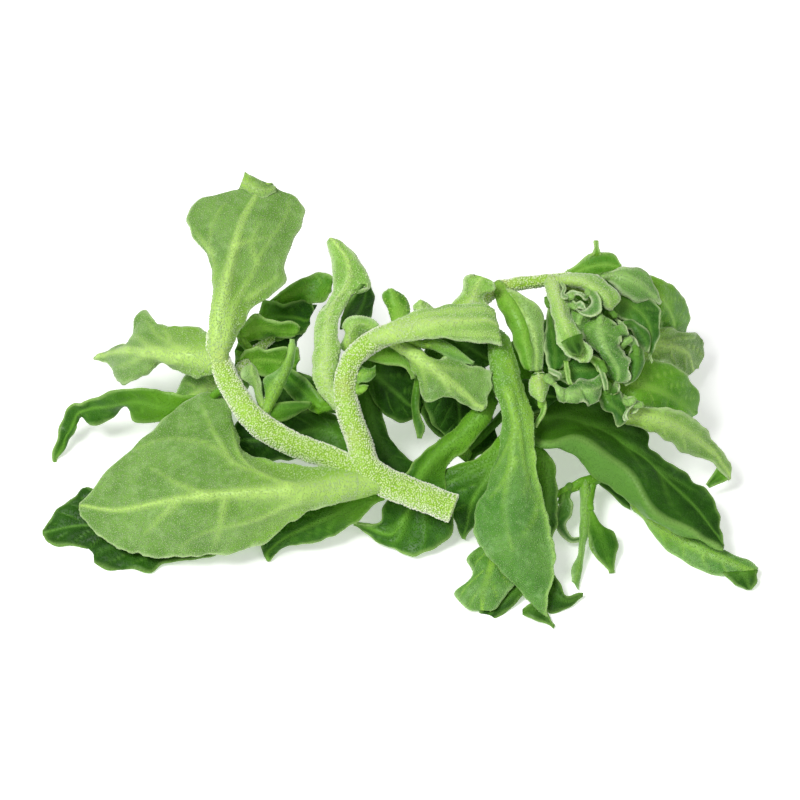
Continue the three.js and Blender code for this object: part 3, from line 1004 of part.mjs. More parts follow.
// A round stem along a route, closed at both ends
function stemGeometry(stem, sides, grow = 0) {
  const curve = curveThrough(stem.route);
  const points = [];
  const index = [];
  for (let i = 0; i <= stem.steps; i += 1) {
    const share = i / stem.steps;
    const centre = curve.getPointAt(share);
    const forward = curve.getTangentAt(share);
    const u = SIDEWAYS.clone().addScaledVector(forward, -SIDEWAYS.dot(forward)).normalize();
    const v = forward.clone().cross(u);
    const radius = valueAt(stem.radii, share) + grow;
    for (let k = 0; k < sides; k += 1) {
      const angle = (k / sides) * 2 * Math.PI;
      points.push(centre.clone()
        .addScaledVector(u, radius * Math.cos(angle))
        .addScaledVector(v, radius * Math.sin(angle)));
    }
  }
  const last = stem.steps * sides;
  for (let i = 0; i < last; i += sides) {
    for (let k = 0; k < sides; k += 1) {
      const next = (k + 1) % sides;
      index.push(i + k, i + next, i + next + sides, i + k, i + next + sides, i + k + sides);
    }
  }
  for (let k = 1; k < sides - 1; k += 1) {
    index.push(0, k + 1, k, last, last + k, last + k + 1);
  }
  const geometry = new THREE.BufferGeometry().setFromPoints(points);
  geometry.setIndex(index);
  return geometry;
}

// The stalk from a leaf's base to the point where it joins its stem
function stalkGeometry(leaf, grow = 0) {
  const middle = leaf.lines[Math.floor(leaf.lines.length / 2)];
  const base = new THREE.Vector3(...middle[0]);
  const inside = new THREE.Vector3(...middle[1]).sub(base).setLength(STALK_DEPTH).add(base);
  const root = new THREE.Vector3(...leaf.root);
  const bend = root.clone().lerp(base, 0.5).add(new THREE.Vector3(0, 0, -STALK_SAG));
  const route = [root, bend, base, inside].map((point) => point.toArray());
  const radii = [STALK_FOOT, STALK, STALK, STALK_TIP];
  return stemGeometry({ route, radii, steps: STALK_STEPS }, STALK_SIDES, grow);
}

const wasm = await Module();
wasm.setup();

// A solid that can be joined and cut, from a closed geometry
function solidOf(geometry) {
  return new wasm.Manifold(new wasm.Mesh({
    numProp: 3,
    vertProperties: new Float32Array(geometry.attributes.position.array),
    triVerts: new Uint32Array(geometry.index.array),
  }));
}

// Everything under the table top
function groundSolid() {
  const box = new THREE.BoxGeometry(TABLE, TABLE, TABLE).translate(0, 0, -TABLE / 2);
  box.deleteAttribute('normal');
  box.deleteAttribute('uv');
  return solidOf(mergeVertices(box));
}

// The shapes that one node is fused from, either true to size or grown all round
function nodeShapes(pieces, grow) {
  return pieces.flatMap((piece) => {
    if (piece.route) return [solidOf(stemGeometry(piece, piece.sides ?? STEM_SIDES, grow))];
    const shapes = [solidOf(bladeGeometry(piece, grow))];
    if (piece.root) shapes.push(solidOf(stalkGeometry(piece, grow)));
    return shapes;
  });
}

function solidsMeet(a, b) {
  const first = a.boundingBox();
  const second = b.boundingBox();
  const near = [0, 1, 2].every((k) => first.min[k] < second.max[k] && second.min[k] < first.max[k]);
  return near && a.intersect(b).volume() > 0;
}

// What is left of a trimmed piece, without the scraps
function largestPart(solid) {
  return solid.decompose().reduce((best, part) => (part.volume() > best.volume() ? part : best));
}

// Joins the shapes of each node and trims it clear of the nodes made before it
function makeSolids(pieces) {
  const ground = groundSolid();
  const done = [];
  for (const name of new Set(pieces.map((piece) => piece.node))) {
    const own = pieces.filter((piece) => piece.node === name);
    let solid = nodeShapes(own, 0).reduce((sum, shape) => sum.add(shape)).subtract(ground);
    for (const other of done) {
      if (solidsMeet(solid, other.grown)) {
        solid = solid.subtract(other.grown);
      }
    }
    const grown = nodeShapes(own, GAP).reduce((sum, shape) => sum.add(shape));
    done.push({ name, tint: own[0].tint ?? 'stem', solid: largestPart(solid), grown });
  }
  return done;
}

function meshOf({ name, tint, solid }) {
  const mesh = solid.getMesh();
  const geometry = new THREE.BufferGeometry();
  geometry.setAttribute('position', new THREE.BufferAttribute(new Float32Array(mesh.vertProperties), 3));
  geometry.setIndex(new THREE.BufferAttribute(new Uint32Array(mesh.triVerts), 1));
  geometry.computeVertexNormals();
  const material = new THREE.MeshStandardMaterial({ color: TINTS[tint], roughness: GLOSS, metalness: 0 });
  const object = new THREE.Mesh(geometry, material);
  object.name = name;
  return object;
}

const pieces = [
  ...stems, ...shootStems, ...frontLeaves, ...archLeaves, ...leftLeaves, ...outerLeaves, ...heartLeaves,
  ...lowLeaves, ...strapLeaves, ...leftShootLeaves, ...footLeaves,
];

const sprig = new THREE.Group();
sprig.name = 'ice_plant';
sprig.add(...makeSolids(pieces).map(meshOf));

export default sprig;
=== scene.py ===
# Looks of the ice plant sprig: stems, leaves, stalks and the bladder cells on their skin,
# floor, light and camera. Sizes are typed in millimetres and turned into metres on the way in.
import math

import bpy
import numpy as np
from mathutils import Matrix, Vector


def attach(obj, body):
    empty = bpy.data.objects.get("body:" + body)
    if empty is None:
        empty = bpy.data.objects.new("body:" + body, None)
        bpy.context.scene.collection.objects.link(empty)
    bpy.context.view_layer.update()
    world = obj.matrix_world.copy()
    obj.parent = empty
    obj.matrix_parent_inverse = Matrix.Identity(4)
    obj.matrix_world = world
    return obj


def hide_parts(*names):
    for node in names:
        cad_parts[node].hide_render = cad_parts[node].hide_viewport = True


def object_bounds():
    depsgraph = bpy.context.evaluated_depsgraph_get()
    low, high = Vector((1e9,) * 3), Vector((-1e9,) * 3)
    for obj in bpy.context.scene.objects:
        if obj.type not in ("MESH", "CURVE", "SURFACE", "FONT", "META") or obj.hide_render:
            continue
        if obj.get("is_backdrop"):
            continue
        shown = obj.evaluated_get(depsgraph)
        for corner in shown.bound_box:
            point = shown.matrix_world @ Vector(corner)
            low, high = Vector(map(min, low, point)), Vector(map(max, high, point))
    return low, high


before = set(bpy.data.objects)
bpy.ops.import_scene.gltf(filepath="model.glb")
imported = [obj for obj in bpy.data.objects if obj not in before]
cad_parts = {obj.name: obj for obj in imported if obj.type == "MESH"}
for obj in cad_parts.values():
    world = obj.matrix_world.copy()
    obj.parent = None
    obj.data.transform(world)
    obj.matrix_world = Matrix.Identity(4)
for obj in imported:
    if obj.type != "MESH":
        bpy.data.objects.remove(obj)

MM = 0.001
SEED = 41
NODE_SEEDS = 97         # step of the seed from one node to the next
PART_SEEDS = 11         # and from one stem or blade of a node to the next
STALK_SEED = 5

# Blades and their edges
BLADE = 0.9             # thickness of an ordinary blade
EDGE_THICK = 0.26       # thickness at the very edge
TIP_WIDTH = 1.2         # narrowest a leaf gets, at its tip
END_INSET = 0.4         # how much thicker the end of a tip is than its sides
EDGE_REACH = 2.4        # width of the rippled border
RIPPLE = 0.45           # how far the edges ripple
RIPPLE_LENGTH = 3.4
SCALLOP = 0.32          # how far the edges wander in and out
SCALLOP_LENGTH = 2.4
SCALLOP_FULL = 8        # blades narrower than this have smaller scallops
WAVER = 0.3             # slow unevenness of a whole blade
WAVER_LENGTH = 9
WAVES = 7               # waves that add up to an uneven surface, their lengths and their sum
WAVE_LENGTHS = (1.2, 3)
WAVE_TOTAL = 3.2
FULL_SIZE = 14          # blades narrower than this have weaker veins and waves
CALM_BASE = 0.15        # share of a blade over which its waves set in
RIM_WIDTH = 0.55        # width of the pale rim
RIM_FROM = 0.1          # share of the way along at which it is fully there
FOLD_WIDTH = 0.5        # width of the pale line along a fold
FOLD_BLEND = 0.1
FRESH_FADE = 1.8        # how soon the lime colour of a base fades

# Ribs and veins
RIB_NARROW = 0.6        # half width of a midrib at the tip of its leaf
RIB_WIDE = 2.3          # and how much wider it is at the base
RIB_TAPER = 1.7
RIB_MOST = 0.3          # share of the blade's width that a rib takes at most
RIB_ABOVE = 0.55        # share of the width of a rib that shows on the upper face
RIB_HIGH = 0.8          # share of a midrib's full height that shows
RIB_LEAST = 0.15        # height of a rib where the base is round
RIB_PALE = 0.85         # share of a rib's width that is pale
RIB_SHOWS = 1.4
GROOVE = 0.22           # depth of the groove over a rib, on the upper face
GROOVE_WIDTH = 0.8
VEIN_GAP = 6            # usual distance of side veins
VEIN_WIDTH = 0.42       # half width of a side vein
VEIN_SLANT = 0.85       # how far a side vein runs along the leaf for each step outwards
VEIN_CURVE = 0.6        # how much more it leans to the tip farther out
VEIN_BENDS = 6          # distance from the rib over which that sets in
VEIN_SHIFT = 0.37       # shift between the veins on either side of the rib
VEIN_START = 0.8        # distance from the rib at which side veins begin
VEIN_FULL = 1.2
VEIN_END = 3            # distance from the edge over which they fade
VEIN_RAISE = 0.3        # how far a side vein stands out beneath the blade
LONG_VEIN_EDGE = 0.6    # the edge lies this share of a gap outside the last long vein
LEAST_GAP = 0.6
QUILT = 0.22            # how far the blade puffs up between side veins
DRAWN_WIDTH = 0.95      # half width of a drawn vein at its start
DRAWN_THINS = 0.6       # share of that which it loses on its way
DRAWN_HIGH = 0.8        # height of a drawn vein at its start, and what it loses
DRAWN_SINKS = 0.45
DRAWN_POINTS = 20
DRAWN_APART = 4         # distance from a drawn vein at which the blade is fully puffed up

# Grids of points
ROW_STEP = 0.86         # distance between rows of points along a blade
COLUMN_STEP = 0.8       # and across it
ROWS = (14, 100)        # fewest and most of them
COLUMNS = (8, 58)
CROWDED = 0.4           # how much closer together the columns are at the edges
CURVE_POINTS = 240      # points at which the length of a curve is measured
HEEL_ROWS = (0, 0.3, 0.65)  # rows that close a base, as shares of the way from its heel
HEEL_SHRINK = 0.35
HEEL_REACH = 2.6        # longest way from a rooted base to its heel
HEEL_MOST = 0.47        # share of the blade's width that a heel's radius takes at most

# Stalks and stems
STALK_RADII = (1.3, 1.1, 1.1, 0.8)  # from the stem to the leaf
STALK_DEPTH = 2         # how far a stalk runs on inside its leaf
STALK_SAG = 0.5
STALK_STEP = 1.0        # distance between the rings of a stalk
STALK_SIDES = 12
STALK_LUMPS = 0.08
STEM_STEP = 0.6
STEM_SIDES = 26
STEM_LUMPS = 0.12
LUMP_LENGTH = 2.4
STEM_RIDGES = 5         # faint ridges round a stem, their height as a share of its radius
RIDGE_HIGH = 0.035
RIDGE_TURN = 1.3
LEAST_RINGS = 6
END_ANGLES = np.array([0, 30, 55, 75, 88]) * math.pi / 180  # rings of a rounded end
CUT_ANGLE = 0.5         # a cut end bulges only this little
CUT_BULGE = 0.2
STEM_MARKS = {"fresh": 0.5}
STALK_MARKS = {"rib": 0.7, "fresh": 1}
SIDEWAYS = np.array([0.13, 0.31, 0.94])
FACING = np.array([0, -0.64, 0.77])  # the side of the heap that is seen from above; cells turned away from it get painted sheen

# Cells
CELL = 0.5              # distance between neighbouring cells of the skin's grain
CELL_RADIUS = (0.2, 0.33)  # least and most, before the size of the skin's cells
CELL_HEIGHT = (0.7, 1.25)
CELL_RINGS = ((1, -0.35), (0.8, 0.5))  # radius and height of the two rings of a cell
CELL_TOP = 0.9
JITTER_ALONG = (-0.45, 0.45)  # how far cells stray from even rows, as shares of their distance
JITTER_ACROSS = (0.05, 0.95)
LARGE_FROM = 0.75       # cells larger than this have four sides
CELL_FLOOR = 0.3        # no cells stand lower than this
PAINTED_SHEEN_POWER = 1.5       # how narrow the painted sheen on the flanks of cells is
APART_BEHIND = 3        # distance and size of the cells on the far face of a blade
SIZE_BEHIND = 0.5
APART_ON_EDGE = 0.66    # and along its edges
SIZE_ON_EDGE = 0.9      # as a share of the cells on the face
RIB_CELLS = 4           # how many times more stand on a rib than on an edge
RIB_SCATTER = 0.045     # how far they stray from it, less towards the tip
RIB_SPREAD = 1.3
RIB_CROWD = (1, 2)      # shape of the spread that crowds cells towards the base
HEEL_CROWD = (1, 1.6)
SIZE_ON_RIB = 1.1
HEEL_CELLS = 9          # how thickly they stand on a round base
SIZE_ON_HEEL = 0.8
SIZE_ON_STALK = 0.6

# Camera and floor
CAMERA = (0.5, -511.7, 632.8)
AIM = (0.5, 2.5, 20)
LENS = 138.5
SENSOR = 36
CLIP = (0.01, 20)
FLOOR_HALF = 1500
FLOOR_GLOW = 0.34       # keeps the paper white
SKY = 0.38
LIGHTS = (("key", (-450, -250, 900), 8.6, 0.4), ("fill", (600, -500, 700), 1.6, 0.8))  # watts, metres

# Patterns of the skin: sizes in millimetres, and from what roughness to what
PATCH = 9
MOTTLE = 2.2
CELL_MOTTLE = 1.1
PAPER_PATCH = 60
SKIN_ROUGH = (0.36, 0.54)
CELL_ROUGH = (0.28, 0.45)
# Each skin: its colours, the skin on the other face, how far apart and how large its cells are,
# its gloss and bloom, and how much its grain shows
COLOURS = ("deep", "main", "light", "vein", "rim", "base", "cell", "flush")
# The rim mark holds the pale rim of a blade, and on cells the painted sheen of their flanks
MARKS = ("rib", "vein", "rim", "fresh", "flush", "turned")
# Marks that lay a colour over the skin, and how strongly
MARK_COLOURS = (("vein", 0.6, "vein"), ("rib", 0.8, "vein"), ("rim", 0.75, "rim"), ("flush", 0.4, "flush"))
SKIN_KINDS = {
    "stem": dict(
        colours="80b41c 9acc32 bae26a bce25e c6e08c a5d23e eef6da cda488", reverse=None,
        apart=0.56, size=0.85, gloss=0.4, sheen=0.8, grain=0.5),
    "frost": dict(
        colours="78ae3c 92c454 b4da80 c2e67a d2e8b4 a5d23e d6eab8 cdb096", reverse="pale",
        apart=0.75, size=0.66, gloss=0.4, sheen=0.4, grain=0.45),
    "pale": dict(
        colours="608e32 7aa64a a9ca86 bce274 c2de9c 9acd38 b0ce88 b5a278", reverse="bright",
        apart=0.9, size=0.52, gloss=0.35, sheen=0.15, grain=0.5),
    "sage": dict(
        colours="4c842a 66993e 96c478 a6d84e aed488 7ab424 92be60 a09c5c", reverse="bright",
        apart=1, size=0.5, gloss=0.3, sheen=0, grain=0.45),
    "bright": dict(
        colours="4a880e 62a01c 8cc044 98cc50 bcdc8a 7eba26 a0ca60 8f9f4c", reverse="sage",
        apart=1.7, size=0.45, gloss=0.28, sheen=0, grain=0.3),
    "mid": dict(
        colours="245804 326806 569222 6ca630 9ec66a 76b61e 76a23e 6a7a3a", reverse="sage",
        apart=2.2, size=0.4, gloss=0.22, sheen=0, grain=0.22),
    # The dark skin is partly painted shade: besides the dark upper face of some outer leaves, it darkens the
    # leaves deep in the heap to stand in for the shade there.
    "dark": dict(
        colours="1c4406 2a5a0c 42761e 5e9230 80aa52 4c801a 5a8a30 6a7a3a", reverse="sage",
        apart=2.8, size=0.38, gloss=0.15, sheen=0, grain=0.2),
    "heart": dict(
        colours="285c0a 387416 5c9236 6c9e38 c6dea0 5c922a 7ca44c 8a8a4c", reverse="crown",
        apart=2, size=0.4, gloss=0.25, sheen=0, grain=0.25),
    "crown": dict(
        colours="437a22 5f963a 98c076 a0cc6e d8e8b8 6ca230 b8d68e a0a86c", reverse="pale",
        apart=1.1, size=0.5, gloss=0.35, sheen=0.15, grain=0.5),
}
STEM_SKINS = {"shoot_small": "bright", "shoot_low": "bright"}
# Places where the skin is flushed with pink, and how far that spreads
FLUSHES = [(-11.5, -14, 24.5), (-13.5, -3, 32), (26.5, 26, 39), (-45.5, 3, 37)]
FLUSH_REACH = 2.6
FLUSH_ON_BLADE = 0.6

# How many long veins run beside the midrib of a narrow leaf
LONG_VEINS = {"leaf_upright_left": 2, "leaf_flare": 4, "leaf_strap_left": 2,
              "leaf_strap_right": 2, "leaf_crown_pale": 4}
# Leaves that are pleated along their long veins, and how deeply
PLEATS = {"leaf_crown_pale": 4, "leaf_flare": 1.6}
# Lines beyond which a leaf is turned over, so that its other face shows
TURNED = {"leaf_right_long": 2.05}
# Bases that grow out of a stem: a point inside the stem, the radius there, how long it stays round
HEELS = {
    "leaf_front_left": ((-2.5, -23, 17.5), 3.2, 0.26),
    "leaf_upright_left": ((-45.3, 1, 34), 2.3, 0.42),
    "leaf_fleshy_upright": ((-13.5, -7, 27.5), 3, 0.8),
    "leaf_flare": ((-7, 7.3, 38.3), 2.5, 0.35),
    "leaf_left": ((-45, 2, 34.2), 2, 0.3),
    "leaf_hanging_front": ((24, 13.5, 34), 2.4, 0.4),
    "leaf_under_cut": ((24, -1.5, 25), 1.7, 0.3),
    "leaf_crown_top": ((40, 28.3, 37.5), 1.2, 0.3),
    "leaf_strap_left": ((25, 25.2, 37.2), 1.3, 0.3),
    "leaf_strap_right": ((27, 26, 37.5), 1.1, 0.3),
    "leaf_finger": ((1, 9.8, 38.8), 2, 0.9),
    "leaf_bump": ((8, 12, 38.3), 1.6, 0.9),
}
ROOTED = (0.9, 0.12)    # the same radius and length for a base that ends in a short stalk
# Veins drawn on the largest leaves: each point is a share of the way along and the line across
VEINS = {
    "leaf_front_left": """
    0.23 1.07, 0.29 1.4, 0.39 1.42, 0.55 1.55, 0.68 1.75, 0.77 1.88;
    0.49 0.98, 0.56 1.1, 0.62 1.22, 0.71 1.48;
    0.41 1.42, 0.5 1.62, 0.55 1.88;
    0.29 1.35, 0.36 1.6, 0.43 1.85;
    0.2 0.75, 0.32 0.53, 0.44 0.5, 0.54 0.4, 0.59 0.2;
    0.44 0.9, 0.46 0.5, 0.49 0.12;
    0.6 0.95, 0.66 0.78, 0.71 0.5""",
    "leaf_upright_left": """
    0.02 0.7, 0.2 0.5, 0.38 0.38, 0.52 0.4, 0.66 0.5, 0.82 0.55;
    0.02 1.3, 0.2 1.38, 0.38 1.42, 0.52 1.5, 0.66 1.6, 0.84 1.75;
    0.3 1.65, 0.38 1.75, 0.46 1.88;
    0.58 1.02, 0.62 1.25, 0.64 1.5;
    0.5 1.5, 0.6 1.3, 0.74 1.25;
    0.5 0.4, 0.58 0.22, 0.64 0.1""",
    "leaf_fleshy_upright": "",
    "leaf_hanging_front": """
    0.2 1, 0.34 0.9, 0.48 0.8, 0.6 0.8, 0.74 0.85;
    0.1 1.25, 0.25 1.5, 0.4 1.72, 0.52 1.86, 0.66 1.94, 0.8 1.95;
    0.3 1.02, 0.4 1.3, 0.5 1.5, 0.58 1.7;
    0.44 0.98, 0.5 0.7, 0.55 0.35;
    0.42 1.9, 0.5 1.6, 0.56 1.3;
    0.56 1.92, 0.64 1.6, 0.7 1.2;
    0.34 0.96, 0.4 0.55, 0.45 0.2""",
    "leaf_left": """
    0.17 1.1, 0.29 1.37, 0.39 1.62, 0.5 1.78;
    0.36 1.05, 0.46 1.22, 0.59 1.4, 0.72 1.6;
    0.2 0.95, 0.3 0.6, 0.42 0.3, 0.5 0.15;
    0.45 0.95, 0.58 0.68, 0.71 0.42;
    0.3 1.4, 0.33 1.65, 0.36 1.85;
    0.62 1, 0.72 1.15, 0.82 1.35""",
    "leaf_under_cut": """
    0.38 1.1, 0.5 0.85, 0.62 0.6, 0.7 0.3;
    0.5 1.15, 0.6 1.5, 0.67 1.85;
    0.68 1.05, 0.78 0.75, 0.86 0.45;
    0.7 1.1, 0.78 1.4, 0.84 1.7""",
    "leaf_right_long": """
    0.08 0.9, 0.16 0.55, 0.24 0.3;
    0.24 0.95, 0.34 0.6, 0.44 0.3;
    0.4 0.95, 0.5 0.65, 0.6 0.35;
    0.56 0.95, 0.66 0.65, 0.76 0.35;
    0.2 1.05, 0.3 1.45, 0.4 1.8;
    0.38 1.05, 0.5 1.45, 0.6 1.75;
    0.58 1.05, 0.68 1.4, 0.8 1.7""",
    "leaf_arch_lower": """
    0.22 0.95, 0.32 0.55, 0.38 0.2;
    0.42 0.92, 0.56 0.5, 0.66 0.15;
    0.25 1.05, 0.4 1.4, 0.52 1.75;
    0.55 1, 0.68 1.3, 0.8 1.7""",
}


def points_of(text):
    """Lines of points: numbers with commas between points and semicolons between lines."""
    lines = [line for line in text.split(";") if line.strip()]
    return [[tuple(map(float, point.split())) for point in line.split(",")] for line in lines]


def leaf(node, tint, part="blade", thick=BLADE, upper=False, rib=1, frill=1.0, root=None,
         ridge=(0.3, 0.1), lines=""):
    """One blade: lines from base to tip, edge to edge. rib counts the line with the midrib."""
    return dict(node=node, tint=tint, part=part, thick=thick, upper=upper, rib=rib, frill=frill,
                root=root, ridge=ridge, lines=points_of(lines))


# Middle lines of stems: each point with the radius there
STEMS = {
    "stem_main": """
    14 -28.5 14 3.6, 5.5 -25.5 15.5 3.6, -2.5 -23 17.5 3.7, -8 -20 20 3.7, -10 -14 23.5 3.4,
    -12.5 -8.5 27 3.2, -13.5 -4 29.5 2.8""",
    "stem_left": """
    -9 -21 18.5 3.2, -17.5 -17.5 21 3, -27.5 -15 24 3, -36.5 -10.5 27.5 3.2, -42.5 -3 31.5 3, -46.5 5 36 2.8,
    -47 9 38 2.2""",
    "stem_arch": """
    -13.5 -5.5 29 2.8, -13.5 -1 32 2.7, -11.5 4 35 2.7, -6 7.5 38 2.7, 1 9.5 39.5 2.8, 8 12 38.5 2.7,
    14.5 16 37.5 2.4, 21 22 37 2.1, 26.5 26 37.5 1.8, 34.5 27.5 38 1.6, 43 28.5 38 1.6, 52 29 37 1.4""",
    "stem_low": """
    18.5 21 36 1.8, 24 16 30 2, 27.5 7 23 2.2, 33 0 18 2.2, 42 -2.5 14 2.2, 52.5 -6.5 11 2,
    58.5 -9.5 9 1.6""",
    "shoot_left_small": """
    -37 -10 27.5 1.5, -34.5 -7.5 26.5 1.5, -33.5 -5 28.5 1.1""",
    "shoot_left_waves": """
    -42.5 -1.5 31 1.6, -39 10 27.5 1.5, -34 18 25.5 1.2, -28 25 24.5 0.9""",
    "shoot_low": """
    33 -1 17.5 1.5, 30.5 -14 11 1.4, 29.5 -28 7 1.3, 31 -37 4.5 1.1""",
    "shoot_small": """
    56.5 -8.5 9.5 1.9, 52.5 -13.5 8.5 1.7, 46 -16 7.5 1.4, 41.5 -18 6.5 1""",
    "rosette_heart": """
    51.5 29 37 1.4, 54.5 26 34.5 1.8, 55 19 31 2.2, 53.5 10.5 28.5 2.2, 52 4 26 1.6""",
}
